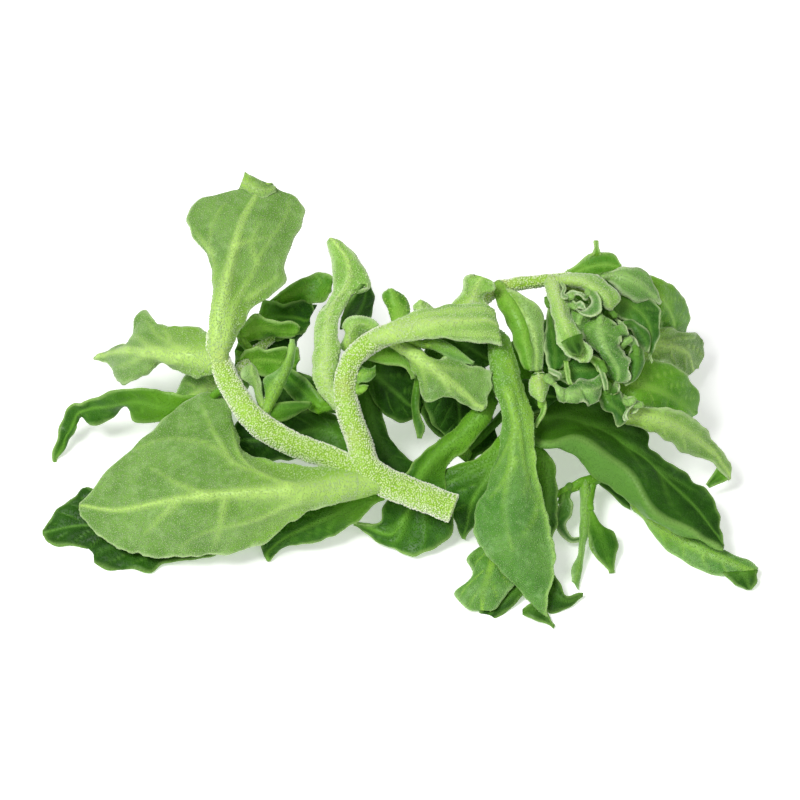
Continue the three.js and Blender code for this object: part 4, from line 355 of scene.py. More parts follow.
LEAVES = [
    # Leaves round the cut end
    leaf("leaf_front_left", "pale", thick=1.2, frill=1.3, ridge=(3, 2.6, 1.6, 0.8, 0.4, 0.1), lines="""
    -10.5 -28 17, -21 -31 17, -27.5 -32.5 13.5, -33.5 -35 9, -41 -37 7, -49 -37.5 6, -61.5 -37.5 5,
    -70.5 -34.5 4.5, -77 -30 4.5, -81 -25 4.5, -82.5 -21.5 5;
    -10.5 -25 18, -25 -29 21.5, -37.5 -30 22, -50 -29.5 20, -60.5 -28.5 16, -71.5 -26.5 10.5, -82.5 -20.5 5;
    -11 -19 18, -22.5 -19.5 20, -33.5 -18 20, -40.5 -13.5 20, -42.5 -7 21, -44.5 0.5 23, -50 2.5 23,
    -56.5 -1 22, -64 -7 19, -72.5 -12.5 13, -78 -17 8.5, -82.5 -19.5 5"""),
    leaf("leaf_hanging_front", "sage", thick=1.1, rib=2, root=(22, 17.5, 32.5),
         ridge=(2.4, 2.2, 1.6, 0.8, 0.2), lines="""
    24 11 33, 24 2 32, 26 -5.5 29.5, 27 -9 28, 26.5 -13 25, 24.5 -19 20, 22.5 -24.5 16.5, 19.5 -28.5 12,
    20 -35 9, 24.5 -40.5 7, 28.5 -44.5 5, 32.5 -48.5 3, 35 -51 2, 37.5 -53.5 1;
    26 9.5 35, 27 -1 34, 29 -9 32, 30 -14.5 28.5, 29.5 -24.5 22.5, 29 -31.5 17, 30 -38.5 12, 32 -44.5 8.5,
    34.5 -48.5 5.5, 36 -51.5 3, 38 -54 1;
    28 10.5 33, 30.5 4 32, 32 -4 30, 33 -11.5 27, 34 -19 22.5, 35.5 -24.5 17.5, 37.5 -30.5 13, 39.5 -37 9.5,
    39.5 -43 6.5, 38 -48.5 4.5, 37.5 -51 2.5, 38.5 -54 1"""),
    leaf("leaf_hanging_front", "dark", part="curled_tip", upper=True, thick=0.5, ridge=(0.1, 0.1), lines="""
    31.5 -51.5 2, 33.5 -50.5 3, 36 -50.5 3, 37.5 -52 2, 38.5 -54 1.5, 39.5 -56 1;
    31.5 -52 1.5, 33.5 -51.5 2, 36 -52 1.5, 37.5 -53.5 1, 39.5 -56 0.5;
    31.5 -52.5 1, 33.5 -53.5 1, 35.5 -54.5 1, 37.5 -55 0.5, 39.5 -56 0.5"""),
    leaf("leaf_under_cut", "mid", thick=1, root=(27, 8, 24), ridge=(2.4, 2, 1, 0.4, 0.1), lines="""
    19.5 -4 24, 13 -8.5 20, 5.5 -12 15, 1.5 -15.5 11, -1.5 -19 8.5, -4 -23 7, -4.5 -26 5.5, -7 -27.5 5,
    -11.5 -25.5 4.5;
    21.5 -6.5 25, 15 -11.5 20.5, 8.5 -14.5 15.5, 5.5 -17.5 11, 4 -21 8, 1.5 -25.5 5.5, -1.5 -29 4, -6 -28 4,
    -11.5 -25.5 4;
    23.5 -7.5 23, 17.5 -13.5 19, 12.5 -15.5 14.5, 12.5 -19.5 11, 14 -23.5 8, 14 -29 5, 9.5 -33 3, 5 -34.5 2,
    1 -33.5 1.5, -2.5 -31.5 1.5, -5.5 -29.5 2, -8.5 -28 3, -11.5 -26 3.5"""),
    leaf("leaf_under_front", "mid", upper=True, root=(-5, -22, 17), ridge=(1.6, 0.5, 0.1), lines="""
    -3.5 -24 11.5, -6 -24.5 10.5, -12 -29 7, -20 -32 5, -28 -32 3, -31.5 -33 1.5, -32.5 -35 0.2;
    -5 -22 12, -12.5 -26 11, -20.5 -29 9, -29 -31 5, -33.5 -33.5 2, -33 -35 0.2;
    -6.5 -19.5 12, -13.5 -21.5 12, -22.5 -24 11, -29 -27 8, -34.5 -31 4, -34.5 -32.5 1.5, -33.5 -35 0.2"""),
    leaf("leaf_under_arm", "mid", upper=True, root=(30.5, 2, 20), ridge=(1.8, 0.8, 0.2), lines="""
    26 -17 17.5, 23.5 -22 13, 21.5 -25 9, 20 -27 5, 17.5 -29 1.5;
    27 -13.5 19, 23 -19 14.5, 19.5 -22.5 10, 18 -26 6, 17 -29 1.5;
    26 -9.5 20, 21.5 -13.5 17, 15.5 -14.5 14.5, 9 -15.5 12, 4 -17 10, 8 -20 8.5, 13 -23.5 6.5, 15 -26.5 4,
    16.5 -29 1.5"""),
    leaf("leaf_under_arm", "dark", part="back", upper=True, frill=1.4, root=(30.5, 2, 20),
         ridge=(0.4, 0.1), lines="""
    15 -7.5 13, 18 -4.5 14, 21.5 -1.5 15, 24.5 2 16;
    16.5 -9.5 12, 19.5 -7 13, 22.5 -5 14, 25 -2 15;
    18 -11.5 11, 21 -10 12, 24 -8.5 13, 26 -6 14"""),
    # Painted shade: this leaf under the arch wears the dark skin to stand in for the shade there.
    leaf("leaf_ring", "dark", upper=True, root=(-12, 2.5, 33), ridge=(1.4, 0.6, 0.2), lines="""
    -11 8 20.5, -12.5 0.5 15.5, -10.5 -7.5 12.5, -4 -14.5 9, 3.5 -17 7.5;
    -7 8.5 22, -7.5 1 18, -5 -6 14, 0 -12 10.5, 5.5 -14 8;
    -2.5 7 21, -4 4 18.5, -3.5 -2 15, -0.5 -6.5 12.5, 4 -10.5 10.5, 8.5 -12.5 8.5"""),
    leaf("leaf_hanging_back", "mid", root=(35.5, -1, 17), ridge=(1.6, 0.5, 0.1), lines="""
    31.5 -8 17, 32 -15 13, 33.5 -22 9, 34.5 -29.5 6, 36 -34.5 3;
    33.5 -8.5 18.5, 37 -14 15, 38.5 -20 11, 38 -27 7, 36.5 -35 3;
    35 -10.5 18, 39 -12.5 16, 41 -17.5 12, 41 -23 8.5, 40.5 -29 5.5, 37 -35 3"""),
    # Leaves on and under the arch
    leaf("leaf_flare", "frost", thick=1.4, ridge=(1.6, 1, 0.4, 0.1), lines="""
    -2.5 8 42, 3.5 11.5 43.5, 8.5 12.5 44, 12.5 13.5 44, 17 14 44, 21 15 43.5, 24.5 14 42.5;
    -1 5.5 42.5, 5.5 6.5 44.5, 12 7 45, 18.5 8 44.5, 22.5 9 43.5, 25.5 9 41.5;
    0 4 41, 5.5 3.5 42.5, 11 4.5 42.5, 16 4.5 41, 21.5 4.5 40.5, 26.5 4.5 39.5"""),
    leaf("leaf_flare", "frost", part="end_flap", frill=1.5, lines="""
    12.5 13.5 43, 15 16.5 43.5, 16.5 20 44.5, 17.5 22.5 45.5, 19 23 46;
    17.5 12 43.5, 19 16.5 43, 20 20 43.5, 21 22 45, 22 22.5 45.5;
    23.5 13 42.5, 22.5 17.5 41.5, 23 20 42, 25 20 43, 25 21.5 44.5"""),
    leaf("leaf_arch_lower", "pale", thick=1, frill=1.3, root=(-1.5, 9, 38.5),
         ridge=(1.8, 1, 0.5, 0.2), lines="""
    1 10 36, 4.5 7.5 37, 8.5 2.5 37, 11.5 2 36.5, 15 4 36, 18 1.5 35.5, 23.5 0 35, 24 -2 34, 23 -5.5 31,
    22 -8 29;
    0 8 36, 3 4.5 36.5, 7 1 36.5, 10 -1.5 35.5, 13.5 -3.5 34, 16.5 -5.5 32.5, 19.5 -7 30.5, 21.5 -8 29;
    -2 9.5 34, 1.5 5.5 34, 4 2 33.5, 5 -2.5 32.5, 6 -6.5 31, 7.5 -7.5 31, 11 -6 31.5, 14 -6 31, 16.5 -7 29.5,
    19.5 -8 29, 21.5 -8.5 28.5"""),
    leaf("leaf_arch_drop", "bright", root=(-7, 7.5, 37.5), ridge=(0.8, 0.3, 0.1), lines="""
    -7.5 7 34, -4.5 9.5 34, -0.5 8.5 33.5, 3 6 32, 4.5 4.5 30, 4 3 28;
    -8 6.5 33, -4.5 6.5 33, -0.5 6.5 32, 2.5 5 31, 3.5 4 29.5, 4 3 28;
    -8.5 6 32, -4 5 31.5, -0.5 5 31, 2 4.5 30.5, 3 4 29, 4 3 28"""),
    leaf("leaf_arch_drop", "mid", part="thin", upper=True, frill=1.2, root=(-1.5, 9, 35.5),
         ridge=(0.4, 0.1), lines="""
    5 5.5 29, 4 3.5 25, 3.5 0 22, 4 -4 19.5, 5 -8 17;
    5.5 5.5 29.5, 5 3 25.5, 4.5 -1 23, 5 -4.5 20, 5.5 -8 17;
    6 5.5 29, 6 3.5 25, 5.5 -1.5 22.5, 6 -4 20.5, 7 -6 19, 6 -8 17"""),
    # Painted shade: leaf_inner_back and its cup wear the dark skin to stand in for the shade deep under the
    # arch.
    leaf("leaf_inner_back", "dark", upper=True, root=(-10.5, 5, 35.5), ridge=(0.8, 0.1), lines="""
    -8.5 13 30, -3.5 9.5 28, 4.5 10.5 26, 7 7.5 22, 7 3.5 19;
    -9.5 11 28, -5 6 25, -0.5 3.5 21.5, 3 2 18.5, 6 2.5 17;
    -9 8.5 26, -7.5 4 21.5, -4 0 17.5, 0 -1 15.5, 3.5 0 15, 5.5 2 15"""),
    leaf("leaf_inner_back", "dark", part="cup", upper=True, ridge=(0.2, 0.1), lines="""
    6 4 19, 6 2.5 16, 7.5 0 13, 10.5 -2 10.5, 13.5 -2.5 9;
    9.5 3 20, 10 2 16.5, 11.5 1 13, 14 0.5 10.5, 15.5 0 9;
    13.5 3 20, 15 2.5 17, 16.5 1.5 14, 18 1.5 11.5, 19 1 9.5"""),
    leaf("leaf_inner_back", "sage", part="lobe", frill=1.6, root=(-12, 3, 34), lines="""
    -10.5 3.5 32, -9 3 33, -7 2.5 33, -6 4 32.5;
    -10.5 0.5 32, -9 -0.5 33.5, -7.5 0 33.5, -6 1.5 32.5;
    -11 -2 31, -9 -2.5 32.5, -7.5 -2 32.5, -6 0 32"""),
    leaf("leaf_inner_back", "bright", part="lobe_low", upper=True, frill=1.6, root=(-12, 3, 34),
         ridge=(0.2, 0.1), lines="""
    -11 -2 31, -9 -2 31.5, -7.5 -2 31;
    -10.5 -3.5 30.5, -9 -3 31, -8 -2.5 31;
    -10.5 -4 29.5, -9 -3.5 30, -8 -3 30.5"""),
    # Painted shade: these two leaves deep under the arch wear the dark skin to stand in for the shade there.
    leaf("leaf_inner_right", "dark", upper=True, root=(9, 12.5, 38), ridge=(0.8, 0.1), lines="""
    11 13.5 32, 16.5 12 31, 21 10 29, 23 7 25, 22.5 4 20, 20 -0.5 16, 16.5 -3.5 13.5, 15 -5 13;
    9 13 30, 12.5 7.5 28, 15 3.5 23, 16 0 17, 15.5 -2.5 14.5, 14.5 -4.5 13;
    6.5 9.5 28, 6.5 4 24, 7 1 20, 8.5 -2 17, 10.5 -3.5 14.5, 13.5 -4.5 13"""),
    leaf("leaf_inner_top", "dark", upper=True, root=(13, 15, 37), ridge=(0.4, 0.1), lines="""
    18.5 12.5 34, 24 12.5 32, 26 12 29;
    14.5 11.5 34, 20 9.5 31, 24.5 8.5 28;
    11 12.5 34, 14.5 7.5 32, 21 6 28"""),
    leaf("leaf_inner_top", "sage", part="sliver", frill=1.4, root=(0, 9.5, 39.5), lines="""
    6 6.5 39, 9.5 7.5 39, 14 5.5 38, 19.5 2 36;
    6.5 5.5 38.5, 10 5.5 38.5, 14.5 4 37.5, 19.5 2 35.5;
    7.5 5.5 37.5, 10 4.5 37, 14 2.5 36, 19 1.5 35"""),
    leaf("leaf_small_curled", "frost", root=(-10.5, 5.5, 35.5), ridge=(0.4, 0.1), lines="""
    -13.5 8.5 32, -15 9.5 33, -14 11.5 34, -13.5 13 35.5, -14.5 13.5 36, -13.5 15 37.5, -11 15 39,
    -8.5 15 38.5, -6 14.5 37.5, -4.5 13.5 36.5;
    -12 9.5 32, -12.5 10 33.5, -12.5 11.5 35, -12 12.5 36.5, -10.5 13.5 37.5, -8.5 13.5 37, -6 13 36;
    -9.5 10.5 32, -10 11 33, -9.5 12.5 34, -8.5 13 34.5, -6.5 13 35"""),
    leaf("leaf_finger", "bright", thick=1.2, ridge=(1.2, 0.3), lines="""
    0 12.5 37, -2 17 37, -4 20.5 39, -4 22 40, -2 22.5 41;
    1 11.5 38, 0 16.5 38.5, -1 20 40, -2 22.5 41;
    2.5 13 37, 3 19.5 37, 1.5 22 39, -1.5 22.5 41"""),
    leaf("leaf_bump", "frost", thick=1.1, ridge=(0.8, 0.2), lines="""
    6.5 13.5 39, 4 17 39, 4 18 40, 5.5 18.5 40.5;
    8 13 39.5, 6 16.5 40, 6 18 41;
    10.5 13.5 39, 9.5 17 39, 7.5 18.5 40, 6 18.5 40.5"""),
    # Leaves at the left
    leaf("leaf_left", "pale", thick=1, frill=1.5, root=(-46.5, 4.5, 35.5),
         ridge=(2.2, 1.2, 0.4, 0.1), lines="""
    -47.5 1 32, -52 3.5 28, -57 7 27, -61.5 9 26.5, -65 8.5 23.5, -70 8.5 19.5, -74.5 12 17, -76 17 16,
    -80.5 22.5 13.5;
    -47 3.5 35, -55 6 33.5, -63 10 30, -70 15 25, -75.5 19 19.5, -80.5 22.5 14;
    -48 8 35, -47.5 11 35.5, -52 15.5 34, -57.5 17.5 32, -62 19 30.5, -65 23.5 30, -67.5 25.5 28.5,
    -68.5 23 26.5, -70 19.5 24, -75.5 21.5 18.5, -80.5 22.5 14"""),
    leaf("leaf_upright_left", "pale", thick=1.1, ridge=(2.6, 2.4, 1.6, 0.8, 0.3), lines="""
    -48 5 36, -47.5 12.5 40, -47.5 20 43, -49 28.5 46, -53.5 34.5 48, -55 41 49, -52.5 45.5 50, -46 47 51,
    -41.5 47.5 52;
    -46 4.5 37, -45.5 11 41.5, -44.5 18.5 45, -43 26 48, -41 34.5 50.5, -38.5 41 52, -35.5 46.5 53,
    -34 48 53.5;
    -43.5 4.5 36, -40.5 10.5 38.5, -37 16 41, -33 19 42, -29.5 23 43, -29 28 45, -27.5 33 46.5, -25 39 48.5,
    -24.5 43 49.5, -27.5 46 51, -33.5 48.5 53"""),
    leaf("leaf_upright_left", "pale", part="tip_flap", thick=0.7, frill=1.6, ridge=(0.2, 0.1), lines="""
    -40 51 55, -37.5 50 54.5, -35 48.5 54, -32 47 53;
    -40.5 48.5 54, -38 46 54.5, -35 45 54, -32 46.5 53;
    -41.5 47.5 52, -38.5 45 53, -35.5 43.5 53, -32 45.5 52.5"""),
    leaf("leaf_left_wavy", "mid", upper=True, frill=1.8, root=(-43.5, -1, 31),
         ridge=(1.2, 0.4, 0.1), lines="""
    -52 1.5 14, -59.5 0.5 14, -65 1 13, -69.5 1.5 12.5, -71 6 13.5, -74 5.5 11, -77 4 9, -81 4.5 8,
    -83.5 7 7.5, -85 4.5 4.5, -88 2 2, -90 -3.5 0.2;
    -51.5 3.5 17, -60.5 2 17.5, -68.5 4.5 17, -75.5 5 14.5, -83.5 7 10, -87 3.5 5, -90.5 -3 0.2;
    -51.5 4 20, -60 4.5 20, -64 6 21, -70 6.5 20, -75.5 7 18, -82 7.5 14, -86 8.5 11, -89 6.5 7, -90.5 2 4,
    -91 -3 0.2"""),
    leaf("leaf_left_tucked", "pale", root=(-43.5, -1, 31), ridge=(1.4, 0.3), lines="""
    -43.5 2 20, -48 2 16, -52.5 3 13, -57 5.5 10.5;
    -44 4 24, -49.5 6.5 20, -54 7 16, -57.5 6.5 12;
    -44.5 8.5 26, -50.5 11 23, -56 11.5 19, -58.5 8 15"""),
    leaf("leaf_ground_left", "dark", upper=True, frill=1.8, root=(-12, -21, 18), ridge=(1.2, 0.2), lines="""
    -37 -32 3, -51 -35.5 2, -60 -36.5 0.8, -64 -39 0.2, -68.5 -38 0.2, -73.5 -37.5 0.2, -78 -35.5 0.2,
    -79.5 -32 0.2, -83.5 -30 0.2, -88.5 -29.5 0.2, -92 -26 0.2;
    -35.5 -26.5 4.5, -53.5 -27.5 3.5, -69 -27 3, -81 -25 2.5, -92 -26 0.4;
    -38.5 -21 6, -54 -21 6, -69.5 -19 5, -77.5 -16 5, -82 -14.5 4.5, -84 -17 3.5, -87.5 -19 3, -90 -22 2,
    -92 -25.5 0.6"""),
    leaf("leaf_fleshy_upright", "frost", thick=2, ridge=(2, 1.8, 1.4, 1, 0.5), lines="""
    -16.5 -6.5 27, -19.5 -3.5 29, -21.5 -0.5 30.5, -22 2.5 32, -22 5.5 33.5, -21.5 8.5 35, -21.5 12 37.5,
    -20.5 15.5 39, -18.5 17.5 40.5, -17 20.5 42.5, -16.5 23.5 45, -17 26 47.5, -18 28 49.5, -18.5 30 50.5;
    -14.5 -6 27.5, -17 -3 29.5, -18.5 -0.5 31, -19 2.5 32.5, -18.5 7 34.5, -18.5 12 37, -18 15 39,
    -16.5 18 40.5, -13.5 21 43, -12.5 24 45.5, -13.5 27 48.5, -15.5 29 50, -17.5 31 51;
    -12.5 -5.5 28, -15 -2.5 29.5, -16.5 0 31, -15.5 2.5 32.5, -15 6 33.5, -15 8.5 35, -15.5 11 36.5,
    -15.5 13.5 38, -14 16.5 39.5, -12.5 19 41, -10 20.5 43, -7 21 43.5, -8 24 45.5, -10 26.5 48,
    -12.5 28.5 50, -14.5 30.5 50.5, -16.5 31 51"""),
    leaf("leaf_fleshy_upright", "dark", part="inner_face", upper=True, lines="""
    -15 15 33.5, -14.5 17 37, -12.5 19 41, -9.5 20.5 44.5;
    -13.5 18 31.5, -11 19.5 34, -9 20.5 38.5, -8 21 44;
    -12.5 21 29, -8.5 21.5 30, -6.5 21.5 33.5, -6 22 38, -7 22 43.5"""),
    leaf("leaf_stem_side", "mid", upper=True, root=(-14, -4, 27.5), ridge=(0.8, 0.2), lines="""
    -20.5 -4 22, -25.5 -1 22.5, -28.5 2 23, -30.5 5 24;
    -19.5 -3.5 24, -22.5 -0.5 24.5, -25.5 2.5 25, -29 6.5 25.5;
    -18.5 -2.5 25, -21 1 26, -24 4 27, -27.5 7 27, -29 9.5 27"""),
    # Painted shade: the two leaves in the well under the left stem wear the dark skin to stand in for the
    # shade there.
    leaf("leaf_well_left", "dark", upper=True, root=(-11, -12, 23), ridge=(0.8, 0.1), lines="""
    -12 -10.5 12, -19 -9.5 11.5, -27 -9.5 10, -35.5 -9.5 9.5, -40.5 -9 10, -43 -6.5 11;
    -12.5 -7 15, -20 -3.5 15, -27.5 -4.5 14.5, -35.5 -5.5 13.5, -43 -5 12.5;
    -14 -2.5 18, -20.5 1 18, -28 0 18, -35.5 0 17, -40.5 0.5 15.5, -43.5 -2.5 13.5"""),
    leaf("leaf_well_back", "dark", upper=True, root=(-13.5, -3.5, 28), ridge=(0.8, 0.1), lines="""
    -15 3 14, -25.5 3 14, -32 3 14.5, -36.5 3.5 15.5;
    -16 5 17, -25.5 6.5 17.5, -32 7 18, -37 8 18.5;
    -17.5 7.5 20, -24 10.5 21, -31 11.5 21.5, -36.5 12 21.5"""),
    # Leaves round the right-hand end
    leaf("leaf_crown_top", "bright", upper=True, ridge=(0.8, 0.2), lines="""
    42.5 31.5 36, 46.5 34 38, 50.5 36 39.5, 53.5 36.5 40, 56.5 36 39.5, 58.5 33.5 38.5;
    42.5 31 35.5, 47.5 32.5 37, 53 33.5 38, 58.5 33 38;
    43 30.5 35, 49 31 35.5, 54 32 36, 58 32.5 37"""),
    leaf("leaf_crown_top", "bright", part="spike", thick=0.6, rib=0, ridge=(0.2, 0.1), lines="""
    50.5 35.5 39.5, 51 36 40.5, 51.5 37 41.5, 52 38.5 42;
    53.5 35.5 39.5, 53 36 40.5, 52.5 37 41.5, 52 38.5 42"""),
    leaf("leaf_crown_pale", "crown", thick=0.7, root=(51.5, 29, 37), ridge=(0.8, 0.2), lines="""
    54.5 30.5 38.5, 57.5 30.5 39.5, 61 31 39.5, 64.5 31 38.5, 66 30 37, 66.5 28.5 35.5, 68 27 33.5, 69 26 32;
    54.5 29.5 38, 57.5 28.5 39, 60 27.5 39, 63 26.5 38, 65 26 36, 67 25.5 34, 68.5 26 32;
    54.5 29 37, 56 27.5 37.5, 57.5 25.5 37.5, 58 24.5 37, 59.5 23 36.5, 61.5 22.5 36, 63.5 23.5 35,
    65 24.5 34.5, 67 25 33, 68.5 25.5 32"""),
    leaf("leaf_crown_side", "bright", upper=True, root=(55, 23.5, 33), ridge=(0.8, 0.2), lines="""
    63 33.5 34, 67.5 34 33, 73 35 28, 76.5 35 22, 78 34.5 16, 78 35 10;
    63.5 31.5 33, 68 29 31.5, 71 28.5 27, 73 28.5 21, 74 30 14;
    64.5 29.5 31, 67.5 27.5 28.5, 69 26.5 24, 70 27 19, 70.5 26 16"""),
    leaf("leaf_side_pale", "pale", frill=1.4, root=(55, 16, 30), ridge=(1, 0.2), lines="""
    62.5 24 23, 70.5 26 21.5, 76 28.5 17, 80.5 32 12, 82 30 8, 80 26 6;
    62.5 20.5 21, 69 22 19.5, 76 24 14, 78.5 22.5 8;
    63 17.5 18, 68.5 18 17, 73.5 19 13, 77 20 9"""),
    leaf("leaf_side_bright", "bright", upper=True, root=(53, 7, 27.5), ridge=(1, 0.3), lines="""
    55.5 6.5 28, 61.5 7.5 29, 66.5 9.5 28, 71.5 10 25, 76.5 9.5 20, 79 8.5 15, 78.5 4.5 12.5;
    55 3.5 27, 61 1.5 27.5, 68 1.5 24.5, 73.5 2 19, 77.5 3 13;
    55.5 0 24, 60.5 -3.5 24.5, 65.5 -2.5 22.5, 71 -0.5 19, 76 1 14.5"""),
    leaf("leaf_side_long", "pale", frill=1.3, root=(52, 4.5, 26), ridge=(1.2, 0.5, 0.1), lines="""
    57.5 -4 26, 64 -4.5 26, 69 -5 25.5, 76 -5 22, 80.5 -6.5 17, 84 -8 12, 86.5 -10 8.5, 87 -12.5 6;
    57.5 -6.5 25, 64.5 -7 24.5, 72 -7.5 21, 78 -8 16, 82.5 -9.5 11.5, 85 -11.5 8.5, 87 -12.5 6;
    58.5 -7 22, 65 -9 21, 72 -10.5 16, 79 -10.5 11.5, 82 -11.5 10, 84.5 -13 8, 86.5 -12.5 6"""),
    leaf("leaf_side_long", "mid", part="tip_fold", upper=True, thick=0.5, ridge=(0.1, 0.1), lines="""
    83 -9.5 8.5, 82 -11 7.5, 81 -12.5 6.5, 80 -14 5.5;
    85 -11 7.5, 83.5 -12.5 6.5, 82 -13 5.5, 80.5 -14 5;
    86.5 -12.5 6, 85 -13.5 5.5, 83 -14 5, 81 -14.5 4.5"""),
    # The rosette and the leaves deep in the heap
    leaf("rosette_heart", "heart", part="dark", upper=True, thick=0.55, frill=1.6, root=(55, 18, 31),
         ridge=(0.4, 0.1), lines="""
    54 31 36, 58 29 36, 62 26.5 35.5, 65.5 24.5 35, 68 21.5 34.5, 68 17 34.5, 67.5 12 33, 65.5 9 31.5,
    65.5 5.5 31;
    55.5 23.5 36.5, 60 21.5 36, 63 19 35.5, 65 15.5 34.5, 65.5 12 33, 65 9 31.5, 65.5 5.5 31;
    56 18 36, 59.5 16.5 35, 61.5 16 34, 63 14 33, 64 12 32, 64.5 9 31, 65 6 30.5"""),
    leaf("rosette_heart", "heart", part="pale_rim", upper=True, thick=0.55, frill=2, root=(55, 17, 30.5),
         ridge=(0.4, 0.1), lines="""
    54.5 18.5 38, 57.5 15 37, 60.5 16 36.5, 63.5 14 35.5, 65.5 11.5 34, 65 9 33, 64 8 32.5;
    54.5 17 38.5, 58 14 37.5, 60.5 14.5 36.5, 62.5 12.5 35.5, 64 10 34, 63.5 8.5 32.5;
    55 17 37, 58 14 36, 60 13.5 35, 61 11.5 34, 62.5 9.5 33, 63.5 8.5 32.5"""),
    leaf("rosette_heart", "crown", part="frill", upper=True, thick=0.55, frill=3,
         root=(54, 13, 29.5), lines="""
    49.5 13 39, 48 11.5 38, 48.5 8.5 37, 50 5.5 36, 52.5 4 34.5, 53.5 1 33, 55 -2 32, 55.5 -3.5 31;
    52 13 40.5, 51.5 8.5 40.5, 52.5 5.5 39, 54 2.5 38, 55.5 1 36, 56.5 -1 34, 56 -3 32.5, 55 -4.5 31;
    54 13.5 39.5, 55.5 12 40, 56 11.5 38.5, 58 11.5 38.5, 59 10.5 38.5, 58.5 10 37, 57 8.5 38, 58 7 38,
    57.5 7 36.5, 58.5 5 36.5, 59.5 3.5 35.5, 59 2 34.5, 58.5 -0.5 33.5, 57.5 -2.5 32, 53.5 -5.5 31"""),
    leaf("rosette_heart", "crown", part="lobe", upper=True, thick=0.55, frill=1.5,
         root=(54, 11, 28.5), lines="""
    57.5 9 36, 59.5 10 37, 61 9 36.5, 62 7.5 35.5;
    58 7.5 36.5, 59.5 8.5 37, 60.5 8 36, 61 7 35;
    58 8.5 35, 59 8 35.5, 60 7.5 35, 59.5 6 34.5"""),
    leaf("rosette_heart", "heart", part="lobe_low", upper=True, thick=0.55, frill=2,
         root=(54, 11, 28.5), lines="""
    60 8 34, 59.5 4.5 33, 59.5 1 32, 58.5 -1.5 31;
    61 7.5 35, 61.5 3.5 34, 60.5 0 32.5, 58.5 -2 31;
    62 8.5 34, 63.5 7.5 33.5, 63.5 4.5 32.5, 62 1.5 31.5, 60 -1 31, 58 -2 30.5"""),
    leaf("rosette_heart", "crown", part="under", thick=0.55, frill=3, root=(53, 8, 28),
         ridge=(0.4, 0.1), lines="""
    38 -1.5 35, 39.5 -3.5 35, 42 -5 35, 44.5 -4.5 34.5, 46 -3 34.5, 49 -2 34, 51 -1 34, 53 0 33.5;
    38 -3 35.5, 40 -6 36, 41 -8.5 36.5, 42.5 -8 35, 44.5 -9 36, 46.5 -7 35, 48.5 -8 36, 50.5 -6 34.5,
    53 -2.5 33.5;
    38.5 -2.5 34, 39.5 -4.5 33, 41 -8.5 34, 42.5 -8.5 32.5, 44 -9.5 34, 45 -9 32.5, 46 -8.5 33.5, 47 -9 34,
    48.5 -8.5 32, 50 -9 33.5, 51.5 -7 32, 52 -6.5 33, 53 -3.5 33"""),
    leaf("rosette_heart", "heart", part="under_inside", upper=True, thick=0.55, frill=1.5,
         root=(53, 8, 28), lines="""
    39 2 34, 43 5 34.5, 47.5 5.5 34.5, 50.5 5.5 34, 53 4 33;
    39 0.5 33.5, 43.5 1.5 33, 47.5 1.5 33, 51 2 33, 53.5 2 32.5;
    39.5 -0.5 32, 43.5 -2 31.5, 47.5 -2 31.5, 51 -1 31.5, 53.5 0 32"""),
    leaf("rosette_heart", "bright", part="under_strip", thick=0.55, rib=0, frill=0.8,
         ridge=(0.2, 0.1), lines="""
    42.5 2 36, 42.5 0 35.5, 43 -3 35, 43.5 -4.5 34.5;
    43.5 2 36, 44 -1 35.5, 44 -3 35, 44.5 -4.5 34.5"""),
    leaf("rosette_heart", "bright", part="under_side", upper=True, thick=0.55, rib=0, frill=1.2,
         ridge=(0.2, 0.1), lines="""
    49 3.5 36.5, 51.5 3 36, 52.5 2 35.5, 53 1 35;
    49 2 36, 50.5 0.5 35.5, 51 -0.5 35, 52 -0.5 34.5"""),
    leaf("rosette_heart", "crown", part="under_curl", thick=0.55, rib=0, frill=2, ridge=(0.2, 0.1), lines="""
    38.5 -0.5 36, 40 -2 37, 41.5 -3 37, 41.5 -3.5 36;
    38.5 -2 36, 39.5 -3.5 37, 40.5 -4 37, 41 -4 36"""),
    leaf("rosette_heart", "heart", part="low", upper=True, thick=0.55, frill=2.6, root=(52, 4.5, 26),
         ridge=(0.4, 0.1), lines="""
    52.5 -2 31.5, 50.5 -4.5 31, 51 -7 30, 52.5 -8.5 29, 54.5 -10 28.5, 56.5 -12.5 27.5, 58 -11 27.5,
    59.5 -8 28;
    53.5 -2.5 32, 53 -5 31.5, 54 -7.5 31, 55.5 -8.5 30, 57 -9.5 29, 57.5 -10 28.5, 59 -8.5 28.5;
    55 -1.5 31, 56.5 -3.5 30.5, 57.5 -5.5 30, 58 -7 29.5, 58.5 -8 29, 59 -7.5 28.5"""),
    leaf("rosette_heart", "crown", part="low_side", thick=0.5, rib=0, frill=2, root=(52, 4.5, 26),
         ridge=(0.2, 0.1), lines="""
    58.5 -6 30.5, 59.5 -5.5 31, 61 -6.5 30.5, 60 -8 30, 59 -9 29.5, 58 -10.5 29, 58.5 -11.5 28.5;
    58.5 -7 30, 59 -7 30.5, 60 -7.5 30, 59 -8.5 29.5, 58 -9 29, 57.5 -10.5 28.5, 58 -11 28"""),
    leaf("rosette_heart", "crown", part="low_curl", thick=0.5, rib=0, frill=2, root=(52, 4.5, 26),
         ridge=(0.2, 0.1), lines="""
    60 -6 30, 61.5 -6 29.5, 62 -7 29, 61.5 -8.5 28.5, 60 -8.5 28;
    60 -7 29.5, 61 -7 29.5, 61 -7.5 29, 60.5 -8 28.5, 60 -8 28"""),
    leaf("rosette_heart", "crown", part="curl_left", thick=0.5, rib=0, frill=2.6, ridge=(0.2, 0.1), lines="""
    42 24 41, 42.5 21.5 42, 42 19 42.5, 42.5 17.5 42.5, 43.5 17.5 42.5;
    43 24.5 41, 43.5 21.5 42, 43 19.5 42.5, 43.5 19 42.5, 44.5 18.5 42.5"""),
    leaf("rosette_heart", "heart", part="under_right", upper=True, thick=0.5, rib=0, frill=2,
